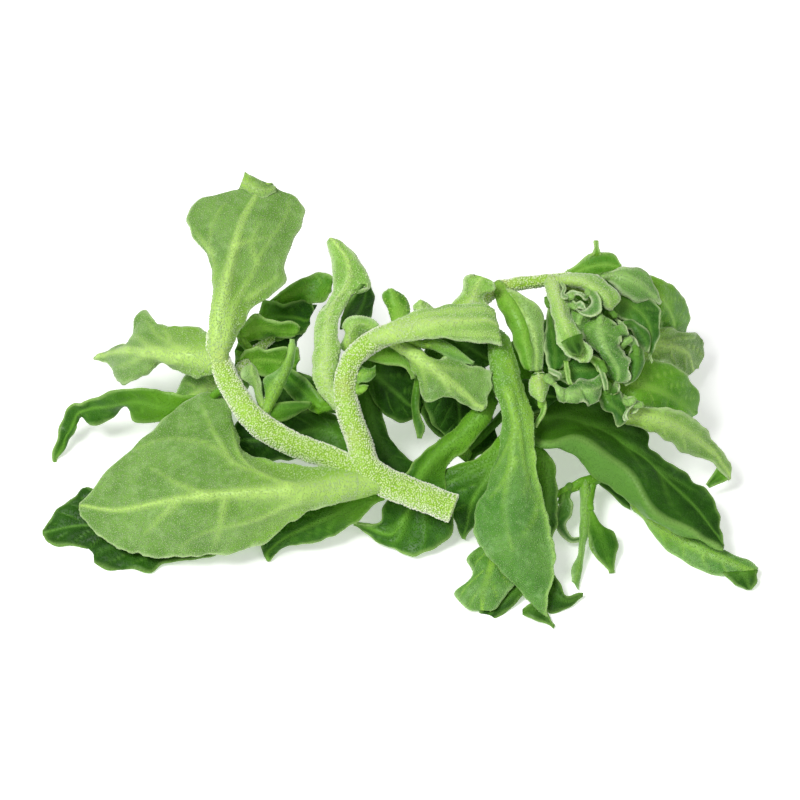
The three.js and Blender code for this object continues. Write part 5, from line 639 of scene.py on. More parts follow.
         root=(53, 8, 28), ridge=(0.2, 0.1), lines="""
    50.5 0.5 36, 51.5 -1.5 35.5, 52 -4 34.5, 52.5 -5.5 33.5;
    52 1 36, 53 -1.5 35.5, 53.5 -3.5 34.5, 53.5 -5.5 33.5"""),
    leaf("rosette_heart", "frost", part="hang", thick=0.55, frill=1.6, root=(54.5, 25, 34.5),
         ridge=(1, 0.4, 0.1), lines="""
    38 27 38.5, 39 20 40, 39.5 14 40.5, 40 9 40, 41 5.5 39.5, 43 2.5 39, 46 0 38;
    40 26 40.5, 41 18.5 42, 42 12 42.5, 43 7.5 42, 44.5 5.5 40, 46 2.5 39, 47 0 38;
    42 27 38.5, 43 20.5 40, 44 15 40.5, 45.5 10.5 40.5, 47.5 6 40.5, 49.5 3 39.5, 48.5 0 38"""),
    leaf("rosette_heart", "dark", part="hang_fold", upper=True, thick=0.55, ridge=(0.2, 0.1), lines="""
    41.5 4 41, 43 2 41, 44 0.5 40.5, 45.5 0.5 40;
    44 5 42, 44.5 3.5 41.5, 45.5 1.5 41, 46 0.5 40;
    47 7 41, 47.5 4.5 41, 47.5 2 41, 46.5 0.5 40"""),
    leaf("rosette_heart", "heart", part="hang_inner", upper=True, thick=0.55, root=(55, 20, 31.5),
         ridge=(0.4, 0.1), lines="""
    39 21.5 37.5, 38 13 36.5, 37.5 7.5 36, 38 3 35.5, 38.5 -1 35;
    39 21.5 38, 39.5 13 36.5, 40 7.5 36, 40 3.5 35.5, 40 0 35;
    39.5 21.5 37, 41.5 11.5 36, 43.5 6 35.5, 44.5 3.5 35, 42 1 34.5"""),
    leaf("rosette_heart", "frost", part="crown", thick=0.55, root=(54.5, 25.5, 34.5),
         ridge=(0.8, 0.2), lines="""
    40.5 29 39, 44.5 28 40.5, 48 27 41.5, 51.5 25.5 42, 54 23.5 42, 56 21.5 41.5, 57.5 19 40.5,
    55.5 16.5 39.5;
    40.5 26 40.5, 44.5 24.5 42, 47.5 23 43, 50 21 43.5, 52.5 19.5 43, 54 17.5 42, 55 16.5 39.5;
    40.5 25.5 38.5, 44.5 24.5 39.5, 47.5 23 40.5, 49 21.5 41, 51 19.5 41.5, 52.5 17.5 41.5, 53.5 16 40.5,
    54.5 16.5 39.5"""),
    leaf("rosette_heart", "crown", part="curl_high", thick=0.55, rib=0, frill=2.6, root=(55, 21, 32),
         ridge=(0.2, 0.1), lines="""
    43 20 41.5, 44.5 20.5 42.5, 45.5 20 43.5, 47 19 43.5, 48 18.5 43, 49.5 21 42;
    43.5 19 41, 45 18.5 42.5, 46 18.5 43, 47 17.5 43, 48 17 42.5, 49 18 42"""),
    leaf("rosette_heart", "crown", part="curl_mid", thick=0.55, rib=0, frill=2.6, root=(54.5, 17, 30.5),
         ridge=(0.2, 0.1), lines="""
    45 18.5 41, 46 17 42, 47 17 42.5, 48 16 42.5, 48 14.5 42;
    44.5 17 40.5, 46 15.5 41.5, 46.5 15 42, 47.5 14.5 41.5, 48 14 41.5"""),
    leaf("rosette_heart", "crown", part="curl_round", thick=0.55, rib=0, frill=1.6, root=(54.5, 17, 30.5),
         ridge=(0.2, 0.1), lines="""
    49 22 42, 51 20 43, 52 17.5 43.5, 52.5 15 43, 52 13 42.5, 50 12 42, 48 12 42, 46.5 13 42, 45.5 15 41.5;
    49 21 42, 49 19.5 42.5, 49.5 17 43, 49.5 15.5 43, 48.5 14.5 42.5, 47.5 14 42, 46.5 14 42,
    46 15.5 41.5"""),
    leaf("rosette_heart", "crown", part="funnel", upper=True, thick=0.55, frill=1.2,
         root=(54.5, 17, 30.5), lines="""
    44.5 15.5 40, 44.5 13 39.5, 45.5 11.5 38.5, 47 9.5 38, 48 8.5 37.5;
    47 13 41, 46.5 12 40, 46.5 10.5 39, 47.5 10 38, 48 8.5 37.5;
    50 14 40, 49.5 13 39, 48.5 12 38.5, 48 10.5 38, 48 8.5 37.5"""),
    # Painted shade: a dark sheet that fills the hollow behind the rosette.
    leaf("rosette_heart", "dark", part="fill", upper=True, thick=0.55, root=(55, 18, 31), lines="""
    41 27.5 37.5, 45.5 28.5 37.5, 50 28 37, 54.5 28 36.5, 59 25.5 35.5, 62.5 20.5 34;
    41.5 20 36.5, 46 20.5 36, 51 19.5 35.5, 54.5 17.5 35, 58 13 33.5, 61 9.5 32;
    41.5 9.5 34, 45 6.5 33.5, 48.5 5 33, 52 3 32, 54.5 0.5 30.5"""),
    # Low leaves and shoots at the right
    leaf("shoot_low", "sage", part="curled", upper=True, frill=1.5, ridge=(1.4, 0.6, 0.1), lines="""
    30.5 -31 7, 30.5 -38 5, 29.5 -44 4, 28 -47 3, 26 -50 2, 23 -51 1;
    28 -30 7.5, 25 -36 6.5, 23 -43.5 6, 21.5 -48.5 4, 21.5 -51 1;
    25.5 -30 7, 21 -34 6, 18.5 -36.5 5.5, 17 -39 5, 19 -42 4.5, 15 -46 3, 15 -48.5 2, 18 -50.5 1,
    20.5 -50.5 0.6"""),
    leaf("shoot_low", "dark", part="dark", upper=True, root=(31, -38, 4), ridge=(0.6, 0.1), lines="""
    33 -46 2.5, 29.5 -49.5 1, 27 -51.5 0.5, 24.5 -53 0.3;
    32 -43.5 3, 28.5 -47.5 2, 25 -50 1, 23 -52 0.5;
    31 -41.5 3, 26 -45 1.5, 21.5 -48 1, 20.5 -51.5 0.6"""),
    leaf("shoot_low", "dark", part="right", upper=True, root=(32, -38, 4), ridge=(1, 0.2), lines="""
    37.5 -39.5 4, 40 -42.5 4, 41.5 -45 3.5, 42.5 -47.5 2.5, 45 -47 2, 47 -46 1.5;
    36 -41 4, 38.5 -45 3, 41 -48 2, 43.5 -48.5 1.5, 47 -46.5 1;
    34.5 -43 3, 36.5 -48.5 1.5, 38.5 -51.5 0.4, 43 -50 0.4, 47 -47 1"""),
    leaf("shoot_small", "heart", part="hook", rib=0, frill=1.4, root=(44.5, -16.5, 7.5),
         ridge=(0.4, 0.1), lines="""
    44.5 -19.5 7, 45.5 -21.5 6, 45 -23.5 5, 43.5 -25.5 4.5, 43.5 -27.5 4, 45 -29 3, 47.5 -28.5 2;
    43 -18.5 6.5, 41 -22 5.5, 40.5 -25.5 4.5, 41.5 -28.5 3.5, 44 -30.5 2.5, 47 -30 2"""),
    leaf("shoot_small", "sage", part="ribbon", frill=2, ridge=(0.6, 0.2), lines="""
    49.5 -15 8, 50.5 -22 6, 49.5 -28 4, 48 -34 3, 47 -39.5 1.5, 46 -44.5 0.6;
    48.5 -15 8.5, 48.5 -22.5 6, 48 -28.5 4.5, 47 -33.5 3, 46 -39 2, 45 -42.5 1;
    47 -14.5 8, 47 -22 6, 46.5 -28 4, 46 -33.5 3, 44.5 -39.5 2, 44.5 -42 1.5"""),
    leaf("shoot_small", "mid", part="leaf", upper=True, root=(50.5, -14.5, 8), ridge=(0.6, 0.2), lines="""
    50 -20.5 6.5, 51 -24.5 5.5, 53 -27.5 4.5, 55.5 -28.5 4, 56.5 -31.5 3, 56 -35.5 2, 55 -39 0.5;
    49.5 -20.5 6.5, 50 -24.5 6, 51.5 -28.5 5, 52.5 -32 4, 53.5 -35.5 2.5, 55 -39 0.5;
    49 -20.5 6.5, 49 -24.5 5.5, 49 -28.5 5, 49 -32 4, 50.5 -35.5 3, 52.5 -37 1.5, 54.5 -39 0.5"""),
    leaf("leaf_right_long", "dark", upper=True, thick=1, root=(37, -1, 16),
         ridge=(1.6, 1, 0.4, 0.1), lines="""
    38 1 20, 46 4 20, 54 2 19, 61 -1.5 17.5, 65 -5 15.5, 65 -8.5 14, 70 -12 12.5, 76 -16 10.5, 80.5 -20.5 9.5,
    82.5 -26 8.5, 82.5 -30.5 7.5, 83.5 -35 6.5;
    36.5 -4.5 20, 44.5 -2.5 18.5, 53.5 -5 16, 62.5 -11 13.5, 69.5 -17.5 11, 76.5 -24.5 9, 83 -35 6.5;
    35 -8 20.5, 35.5 -13 22, 39.5 -14 22.5, 46 -11.5 21.5, 53.5 -15 19, 60 -19 16, 64 -26.5 13.5,
    67.5 -29.5 11.5, 74 -31.5 9.5, 83 -36 6.5;
    37 -9 18.5, 37.5 -13.5 20, 43.5 -13.5 19.5, 47.5 -15.5 15.5, 50.5 -18 13.5, 56.5 -21 10.5, 61.5 -24.5 8.5,
    66 -28.5 8, 73 -31.5 7, 82.5 -36 6"""),
    leaf("leaf_right_low", "sage", root=(58, -9.5, 8.5), ridge=(1.2, 0.5, 0.1), lines="""
    62.5 -19 5.5, 65.5 -22 5.5, 69.5 -26.5 5.5, 75.5 -29.5 4.5, 83 -33.5 3, 89 -36.5 3.5, 92 -39 2.5;
    62 -19 3, 67.5 -25.5 3.5, 76.5 -32.5 3, 86 -38 3, 91.5 -40 2;
    61.5 -19.5 1, 64 -21.5 0.6, 67.5 -29 0.2, 74 -35.5 0.2, 80.5 -39 0.2, 86 -40.5 1, 91.5 -40.5 1.5"""),
    leaf("leaf_right_low", "dark", part="tip_fold", upper=True, ridge=(0.1, 0.1), lines="""
    92 -39.5 2.5, 91.5 -42 1.5, 90 -44.5 0.8;
    88 -40 2.5, 89 -42 1.5, 89.5 -44.5 0.8;
    83 -39.5 1.5, 85.5 -43 1.2, 88.5 -44.5 0.8"""),
    leaf("leaf_right_under", "dark", upper=True, root=(52.5, -6.5, 10.5), ridge=(0.6, 0.1), lines="""
    52 -9 6, 56 -11.5 5, 59 -13 3.5, 61 -15 2;
    52 -11 5, 55.5 -13 3.5, 58.5 -15 2, 60.5 -16.5 1.5;
    52.5 -12.5 3.5, 55.5 -14.5 2, 58.5 -17.5 1, 60.5 -18.5 0.6"""),
    # Narrow leaves and curls at the head of the sprig
    leaf("leaf_strap_left", "bright", thick=1, ridge=(1.2, 0.5, 0.2), lines="""
    25 26.5 37.5, 25.5 21.5 37.5, 27.5 16 37, 29 11.5 36, 30.5 6.5 34.5, 32.5 2 33;
    26 25.5 39, 28 20.5 39.5, 30 16.5 39, 32 12 37.5, 33 7 36, 34 1 33.5;
    27.5 26.5 38, 29.5 22 39, 31.5 17.5 38.5, 33.5 13.5 37, 34.5 7.5 35.5, 35 1 33.5"""),
    leaf("leaf_strap_left", "frost", part="cup", root=(36, 5, 31.5), lines="""
    34 -1.5 33.5, 33.5 -3.5 33, 34 -5.5 32, 35.5 -7 31.5;
    36 -3.5 34, 36 -6 34, 36 -7 33, 36.5 -7.5 31.5;
    38 -0.5 33.5, 38.5 -3 33, 38 -5.5 32, 37 -7.5 31.5"""),
    leaf("leaf_strap_left", "dark", part="cup_inside", upper=True, ridge=(0.1, 0.1), lines="""
    34 -0.5 33.5, 34.5 -2 33.5, 35 -3.5 33.5;
    36 -0.5 34, 36 -2 34, 36 -4 34;
    38 -0.5 34, 37.5 -2 34, 37 -4 34"""),
    leaf("leaf_strap_left", "bright", part="sliver", rib=0, root=(36, -4, 31.5), lines="""
    37.5 -6 31, 38 -7.5 29.5, 37.5 -9 28, 36.5 -10 26.5, 35.5 -11 25;
    36.5 -5.5 30.5, 36.5 -7 29, 36.5 -8 27.5, 35.5 -9 26, 34.5 -10.5 25"""),
    leaf("leaf_strap_right", "pale", upper=True, thick=1, ridge=(0.8, 0.3, 0.1), lines="""
    27 24.5 39.5, 30 22 41, 33 19.5 41, 35.5 18 40, 37.5 15.5 39, 37.5 11 37.5, 37.5 6 35.5, 37 1 34;
    27 25 39, 29 21 39.5, 31.5 17 39, 33.5 14 38, 35 10.5 37, 35.5 6.5 35.5, 35.5 0.5 34;
    26.5 25.5 38, 28 21 38.5, 30.5 17 38, 32 13 36.5, 33 8.5 35, 33.5 1 33.5"""),
    leaf("leaf_back_right", "mid", upper=True, root=(25.5, 12.5, 27.5), ridge=(0.8, 0.1), lines="""
    28.5 19 23, 33.5 21.5 25, 39.5 25.5 26, 46 28.5 26;
    30.5 14.5 20, 36 17.5 21, 42 18.5 22, 47 20.5 21;
    33 10.5 15.5, 37.5 11 15.5, 42.5 9.5 15, 46 9 14.5"""),
    leaf("leaf_back_low", "dark", upper=True, root=(28, 6, 23), ridge=(0.6, 0.1), lines="""
    30.5 3 25.5, 34 5 26, 42 2.5 25.5, 48.5 -0.5 25;
    31 -1 24, 35.5 0 24.5, 42 -0.5 24.5;
    32 -5 22.5, 34.5 -4.5 22.5, 38 -3.5 23"""),
    # Shoots at the left
    leaf("shoot_left_waves", "bright", part="wave_high", upper=True, frill=1.6, root=(-38, 13, 26.5),
         ridge=(0.8, 0.2), lines="""
    -41 15 34, -37.5 18 36, -33.5 17.5 35, -30 18 33.5, -27 19 32, -25.5 18 30.5;
    -41 14 32, -36.5 16 33, -31 16.5 31.5, -28 17 30.5, -26 17 30;
    -41 13.5 29, -36.5 15 29, -33 16 29, -29.5 16 29, -27 16.5 29"""),
    leaf("shoot_left_waves", "bright", part="wave_low", upper=True, thick=0.65, frill=1.7, root=(-39, 10, 27),
         ridge=(0.6, 0.1), lines="""
    -41.5 7.5 30, -39 10 31.5, -33.5 11 31, -29 12 29.5, -26.5 13.5 28, -25.5 11 26;
    -41.5 7.5 28, -36.5 9 28.5, -30.5 9.5 27, -26.5 10 25;
    -41 6.5 26, -35.5 6 25.5, -30 6.5 24, -26.5 8 22.5"""),
    leaf("shoot_left_waves", "mid", part="wave_dark", upper=True, frill=1.6, root=(-35, 17, 25.5),
         ridge=(0.8, 0.2), lines="""
    -36.5 22 30, -35.5 27 31, -31 27 31, -26.5 27.5 30, -23 29.5 29, -22 27.5 28;
    -36.5 21 28, -32.5 24 28, -27.5 24.5 27.5, -24.5 24 27, -23 25 27;
    -36.5 18 25, -31 18.5 25, -27 19.5 26, -24.5 20.5 26.5, -23 23 26.5"""),
    leaf("shoot_left_waves", "bright", part="bright_back", upper=True, thick=0.65, frill=1.7,
         root=(-33, 20, 25.5), ridge=(0.8, 0.2), lines="""
    -33.5 30 28, -30.5 32 30, -26 34 32, -20.5 35.5 33, -17 34 32;
    -34 30 26, -28.5 31.5 29, -22.5 32 31, -17.5 32 31;
    -32.5 29.5 24, -28.5 30.5 26, -24.5 29 28, -19.5 29.5 29, -17.5 31 30"""),
    leaf("shoot_left_waves", "dark", part="dark_back", upper=True, thick=0.65, frill=1.7,
         root=(-38, 12, 26.5), ridge=(0.6, 0.1), lines="""
    -42.5 14.5 26, -39 23.5 27, -33 28.5 27, -26 30.5 26, -22 31.5 24;
    -41.5 13 23, -35.5 18.5 24, -30 22 24, -24.5 25.5 23;
    -40.5 10.5 20, -34 13.5 20.5, -28.5 17.5 21, -25.5 23 21"""),
    leaf("shoot_left_small", "pale", part="spoon", frill=1.5, ridge=(0.8, 0.2), lines="""
    -35 -6.5 26, -36.5 -4 29, -37.5 -2 31, -40 -1 33, -39.5 1.5 34, -38 2 34.5;
    -34.5 -7 27, -35.5 -4 30, -36.5 -1 32, -37.5 0.5 34, -37.5 1.5 35;
    -34 -6.5 26.5, -34.5 -3.5 30, -35.5 -0.5 32.5, -36 1 34, -37 2 34.5"""),
    leaf("shoot_left_small", "sage", part="long", frill=1.3, ridge=(1, 0.5, 0.2), lines="""
    -35 -7 26, -34 -3 29, -34 -0.5 32, -31.5 0.5 34, -29 2.5 35, -28 5 36.5, -27.5 8 38;
    -34 -7.5 27, -32.5 -5 30, -31 -2.5 32.5, -29 0.5 34.5, -27.5 4.5 36.5, -27 7.5 38.5;
    -33 -6 26, -30.5 -3 28.5, -29 -0.5 31, -27 2.5 33, -26.5 5 35.5, -26.5 7.5 38"""),
    leaf("shoot_left_small", "mid", part="side", ridge=(0.8, 0.2), lines="""
    -35 -6 26, -31 -4.5 27, -26.5 -3.5 27, -22.5 -3 26;
    -34.5 -7.5 25.5, -30 -6 26, -25.5 -5 26, -22.5 -3.5 25.5;
    -33.5 -9 24, -29.5 -8 24, -25.5 -6 24.5, -22.5 -3.5 25"""),
    # Leaves that reach the surface behind
    leaf("leaf_foot_right", "bright", thick=1, root=(54, 13, 29), ridge=(1.6, 0.6, 0.2), lines="""
    51.5 17 24, 53.5 24 18, 58 33.5 10, 62.5 43 3, 64 48.5 -0.4;
    54.5 14.5 26, 57.5 23 18, 63 33.5 11, 67.5 43 3.5, 69 48.5 -0.4;
    57.5 15.5 24, 62 22 18, 67.5 32.5 10, 72.5 41.5 3, 74 47 -0.4"""),
    leaf("leaf_foot_behind", "mid", thick=1, root=(55, 20, 31.5), ridge=(1.6, 0.6, 0.2), lines="""
    50 23.5 27, 48 31 19, 46 40.5 10, 47 49 3, 50 54 -0.4;
    54 22.5 29, 54.5 31 20.5, 54.5 42 11, 54.5 51 3.5, 54.5 56.5 -0.4;
    56.5 23.5 27, 60 30.5 19, 62 40 10, 61.5 49.5 3, 59.5 55.5 -0.4"""),
    leaf("leaf_foot_centre", "mid", thick=1, root=(15.5, 17, 37.5), ridge=(1.6, 0.6, 0.2), lines="""
    19.5 19.5 34, 21.5 21 24, 24 25 13, 23.5 30 4, 21.5 33 -0.4;
    16.5 18 36, 17 22 24, 17.5 26 13, 18.5 30 4, 18.5 32.5 -0.4;
    13.5 18.5 34, 12 20.5 24, 11 25 13, 13 30 4, 15 32.5 -0.4"""),
    leaf("leaf_foot_left", "mid", thick=1, root=(-42, -2.5, 31), ridge=(1.6, 0.6, 0.2), lines="""
    -42.5 6 27, -40.5 20.5 18, -38 32.5 10, -35 41.5 4, -31.5 44 -0.4;
    -42 2.5 27, -38.5 16 17, -35 27 9, -32 34 3.5, -30 36.5 -0.4;
    -41 1 25, -37.5 11.5 16, -33 21.5 8, -29.5 28.5 3, -28.5 32.5 -0.4"""),
    leaf("leaf_foot_side", "bright", thick=1, root=(-46, 3.5, 34.5), ridge=(1.4, 0.5, 0.2), lines="""
    -45 6.5 28, -50.5 17.5 18, -55.5 25.5 10, -59.5 30.5 4, -61.5 33.5 -0.2;
    -45.5 7.5 30, -51.5 19 20, -57.5 28 11, -62 35 4, -63 37 -0.2;
    -46 10 31, -52 21.5 22, -58.5 31.5 12, -63 39.5 4, -65 41.5 -0.4"""),
]


def spline(points, t):
    """Points on the smooth curve through the given ones, at t from 0 to their number less one."""
    p = np.asarray(points, float)
    last = len(p) - 1
    p = np.vstack([2 * p[0] - p[1], p, 2 * p[-1] - p[-2]])
    i = np.minimum(np.asarray(t).astype(int), last - 1)
    f = (t - i)[..., None]
    a, b, c, d = p[i], p[i + 1], p[i + 2], p[i + 3]
    bend = (2 * a - 5 * b + 4 * c - d) * f ** 2 + (3 * b - 3 * c + d - a) * f ** 3
    return 0.5 * (2 * b + (c - a) * f + bend)


def runs(points, axis=0):
    """Length run so far along a row of points."""
    steps = np.linalg.norm(np.diff(points, axis=axis), axis=-1)
    start = np.zeros_like(np.take(steps, [0], axis=axis))
    return np.concatenate([start, np.cumsum(steps, axis=axis)], axis=axis)


def at_shares(points, shares):
    """Points at the given shares of the curve's length."""
    t = np.linspace(0, len(points) - 1, CURVE_POINTS)
    run = runs(spline(points, t))
    return spline(points, np.interp(shares, run / run[-1], t))


def value_at(values, shares):
    """Values at the given shares of the way along a list of evenly spaced ones."""
    return np.interp(shares, np.linspace(0, 1, len(values)), values)


def unit(v):
    """Vectors brought to a length of 1."""
    return v / np.maximum(np.linalg.norm(v, axis=-1, keepdims=True), 1e-9)


def smooth(x):
    """A soft step from 0 to 1."""
    x = np.clip(x, 0, 1)
    return x * x * (3 - 2 * x)


def uneven(points, reach, seed):
    """A smooth random field from about -1 to 1, with lumps of the given reach in millimetres."""
    rng = np.random.default_rng(seed)
    total = np.zeros(points.shape[:-1])
    for _ in range(WAVES):
        wave = unit(rng.normal(size=3)) * 2 * math.pi / (reach * rng.uniform(*WAVE_LENGTHS))
        total = total + np.sin(points @ wave + rng.uniform(0, 2 * math.pi))
    return total / WAVE_TOTAL


def sample(grid, u, v):
    """Values of a grid between its points, at u and v from 0 to 1."""
    i = np.clip(u, 0, 1) * (grid.shape[0] - 1)
    j = np.clip(v, 0, 1) * (grid.shape[1] - 1)
    a = np.minimum(i.astype(int), grid.shape[0] - 2)
    b = np.minimum(j.astype(int), grid.shape[1] - 2)
    f, g = (i - a)[:, None], (j - b)[:, None]
    low = grid[a, b] * (1 - g) + grid[a, b + 1] * g
    high = grid[a + 1, b] * (1 - g) + grid[a + 1, b + 1] * g
    return low * (1 - f) + high * f


def keep_tip_width(rows):
    """Spreads the rows that come to a point."""
    spans = rows[:, -1] - rows[:, 0]
    width = np.linalg.norm(spans, axis=1)
    wide = np.flatnonzero(width >= min(TIP_WIDTH, width.max()))
    shares = np.linspace(-0.5, 0.5, rows.shape[1])[:, None]
    for i in np.setdiff1d(np.arange(len(rows)), wide):
        direction = unit(spans[wide[np.abs(wide - i).argmin()]])
        rows[i] = (rows[i, 0] + rows[i, -1]) / 2 + shares * direction * TIP_WIDTH
    return rows


def normals_of(rows):
    """The direction that a grid of points faces, at each of them."""
    along = np.gradient(rows, axis=0)
    across = np.gradient(rows, axis=1)
    return unit(np.cross(across, along))


def middle_line(blade):
    """The middle one of the lines that a blade is drawn through."""
    return np.array(blade["lines"][len(blade["lines"]) // 2], float)


def of_main(table, blade, default=None):
    """What a table says of a leaf's main blade; its lobes and curls have no entry."""
    return table.get(blade["node"], default) if blade["part"] == "blade" else default


def heel_of(blade):
    """The point that a blade's base closes towards, its radius, and how long the base stays round."""
    heel = of_main(HEELS, blade)
    if heel or blade["root"] is None:
        return heel
    base = middle_line(blade)[0]
    away = np.array(blade["root"], float) - base
    radius = ROOTED[0] * min(1, blade["thick"] / BLADE)
    return base + away * min(1, HEEL_REACH / np.linalg.norm(away)), radius, ROOTED[1]


def blade_rows(blade):
    """A fine grid of points on the middle of a blade, a little closer together at its edges."""
    longest = max(runs(np.array(line, float))[-1] for line in blade["lines"])
    n = int(np.clip(longest / ROW_STEP, *ROWS))
    share = np.linspace(0, 1, n + 1)
    curves = np.array([at_shares(line, share) for line in blade["lines"]])
    widest = runs(curves.transpose(1, 0, 2), axis=1)[:, -1].max()
    v = np.linspace(0, 1, int(np.clip(widest / COLUMN_STEP, *COLUMNS)) + 1)
    v = (1 - CROWDED) * v + CROWDED * (0.5 - 0.5 * np.cos(math.pi * v))
    places = v * (len(curves) - 1)
    rows = keep_tip_width(np.array([spline(curves[:, i], places) for i in range(n + 1)]))
    heel = heel_of(blade)
    if heel:
        centre = spline(curves[:, 0], np.array([(len(curves) - 1) / 2]))[0]
        closing = []
        for nearness in HEEL_ROWS:
            size = 1 - HEEL_SHRINK * (1 - smooth(nearness))
            closing.append(centre + (np.array(heel[0]) - centre) * (1 - nearness) + (rows[0] - centre) * size)
        rows = np.vstack([closing, rows])
        share = np.concatenate([np.zeros(len(HEEL_ROWS)), share])
    return rows, places, share


def pinnate(blade, along, from_rib, width):
    """How much of each point is side vein, and how far it lies between two veins."""
    out = np.abs(from_rib)
    if of_main(LONG_VEINS, blade):
        count = LONG_VEINS[blade["node"]] + LONG_VEIN_EDGE
        phase = out / np.maximum(width, 1e-6) * count
        gap = np.maximum(width / count, LEAST_GAP)
    else:
        reach = out + VEIN_CURVE * out ** 2 / (out + VEIN_BENDS)
        side = np.where(from_rib < 0, VEIN_SHIFT, 0)
        phase = (along[:, None] - reach * VEIN_SLANT) / VEIN_GAP + side
        gap = VEIN_GAP
    off = np.abs(phase - np.round(phase)) * gap
    clear = smooth((out - VEIN_START) / VEIN_FULL)
    return np.exp(-(off / VEIN_WIDTH) ** 2) * clear, np.sin(math.pi * phase) ** 2 * clear


def drawn(rows, places, shares, lines):
    """The same for veins that are drawn one by one."""
    points = rows.reshape(-1, 3)
    vein = np.zeros(len(points))
    nearest = np.full(len(points), 1e9)
    step = np.arange(len(rows))
    column = np.arange(rows.shape[1])
    last = DRAWN_POINTS - 2
    for line in lines:
        u = np.interp([p[0] for p in line], shares, step)
        v = np.interp([p[1] for p in line], places, column)
        turns = at_shares(np.column_stack([u, v, 0 * u]), np.linspace(0, 1, DRAWN_POINTS))
        curve = sample(rows, turns[:, 0] / step[-1], turns[:, 1] / column[-1])
        for order, (a, b) in enumerate(zip(curve[:-1], curve[1:])):
            t = np.clip((points - a) @ (b - a) / max((b - a) @ (b - a), 1e-9), 0, 1)
            off = np.linalg.norm(points - a - t[:, None] * (b - a), axis=1)
            wide = DRAWN_WIDTH * (1 - DRAWN_THINS * order / last)
            high = DRAWN_HIGH - DRAWN_SINKS * order / last
            vein = np.maximum(vein, np.exp(-(off / wide) ** 2) * high)
            nearest = np.minimum(nearest, off)
    shape = rows.shape[:2]
    return vein.reshape(shape), smooth(nearest.reshape(shape) / DRAWN_APART)


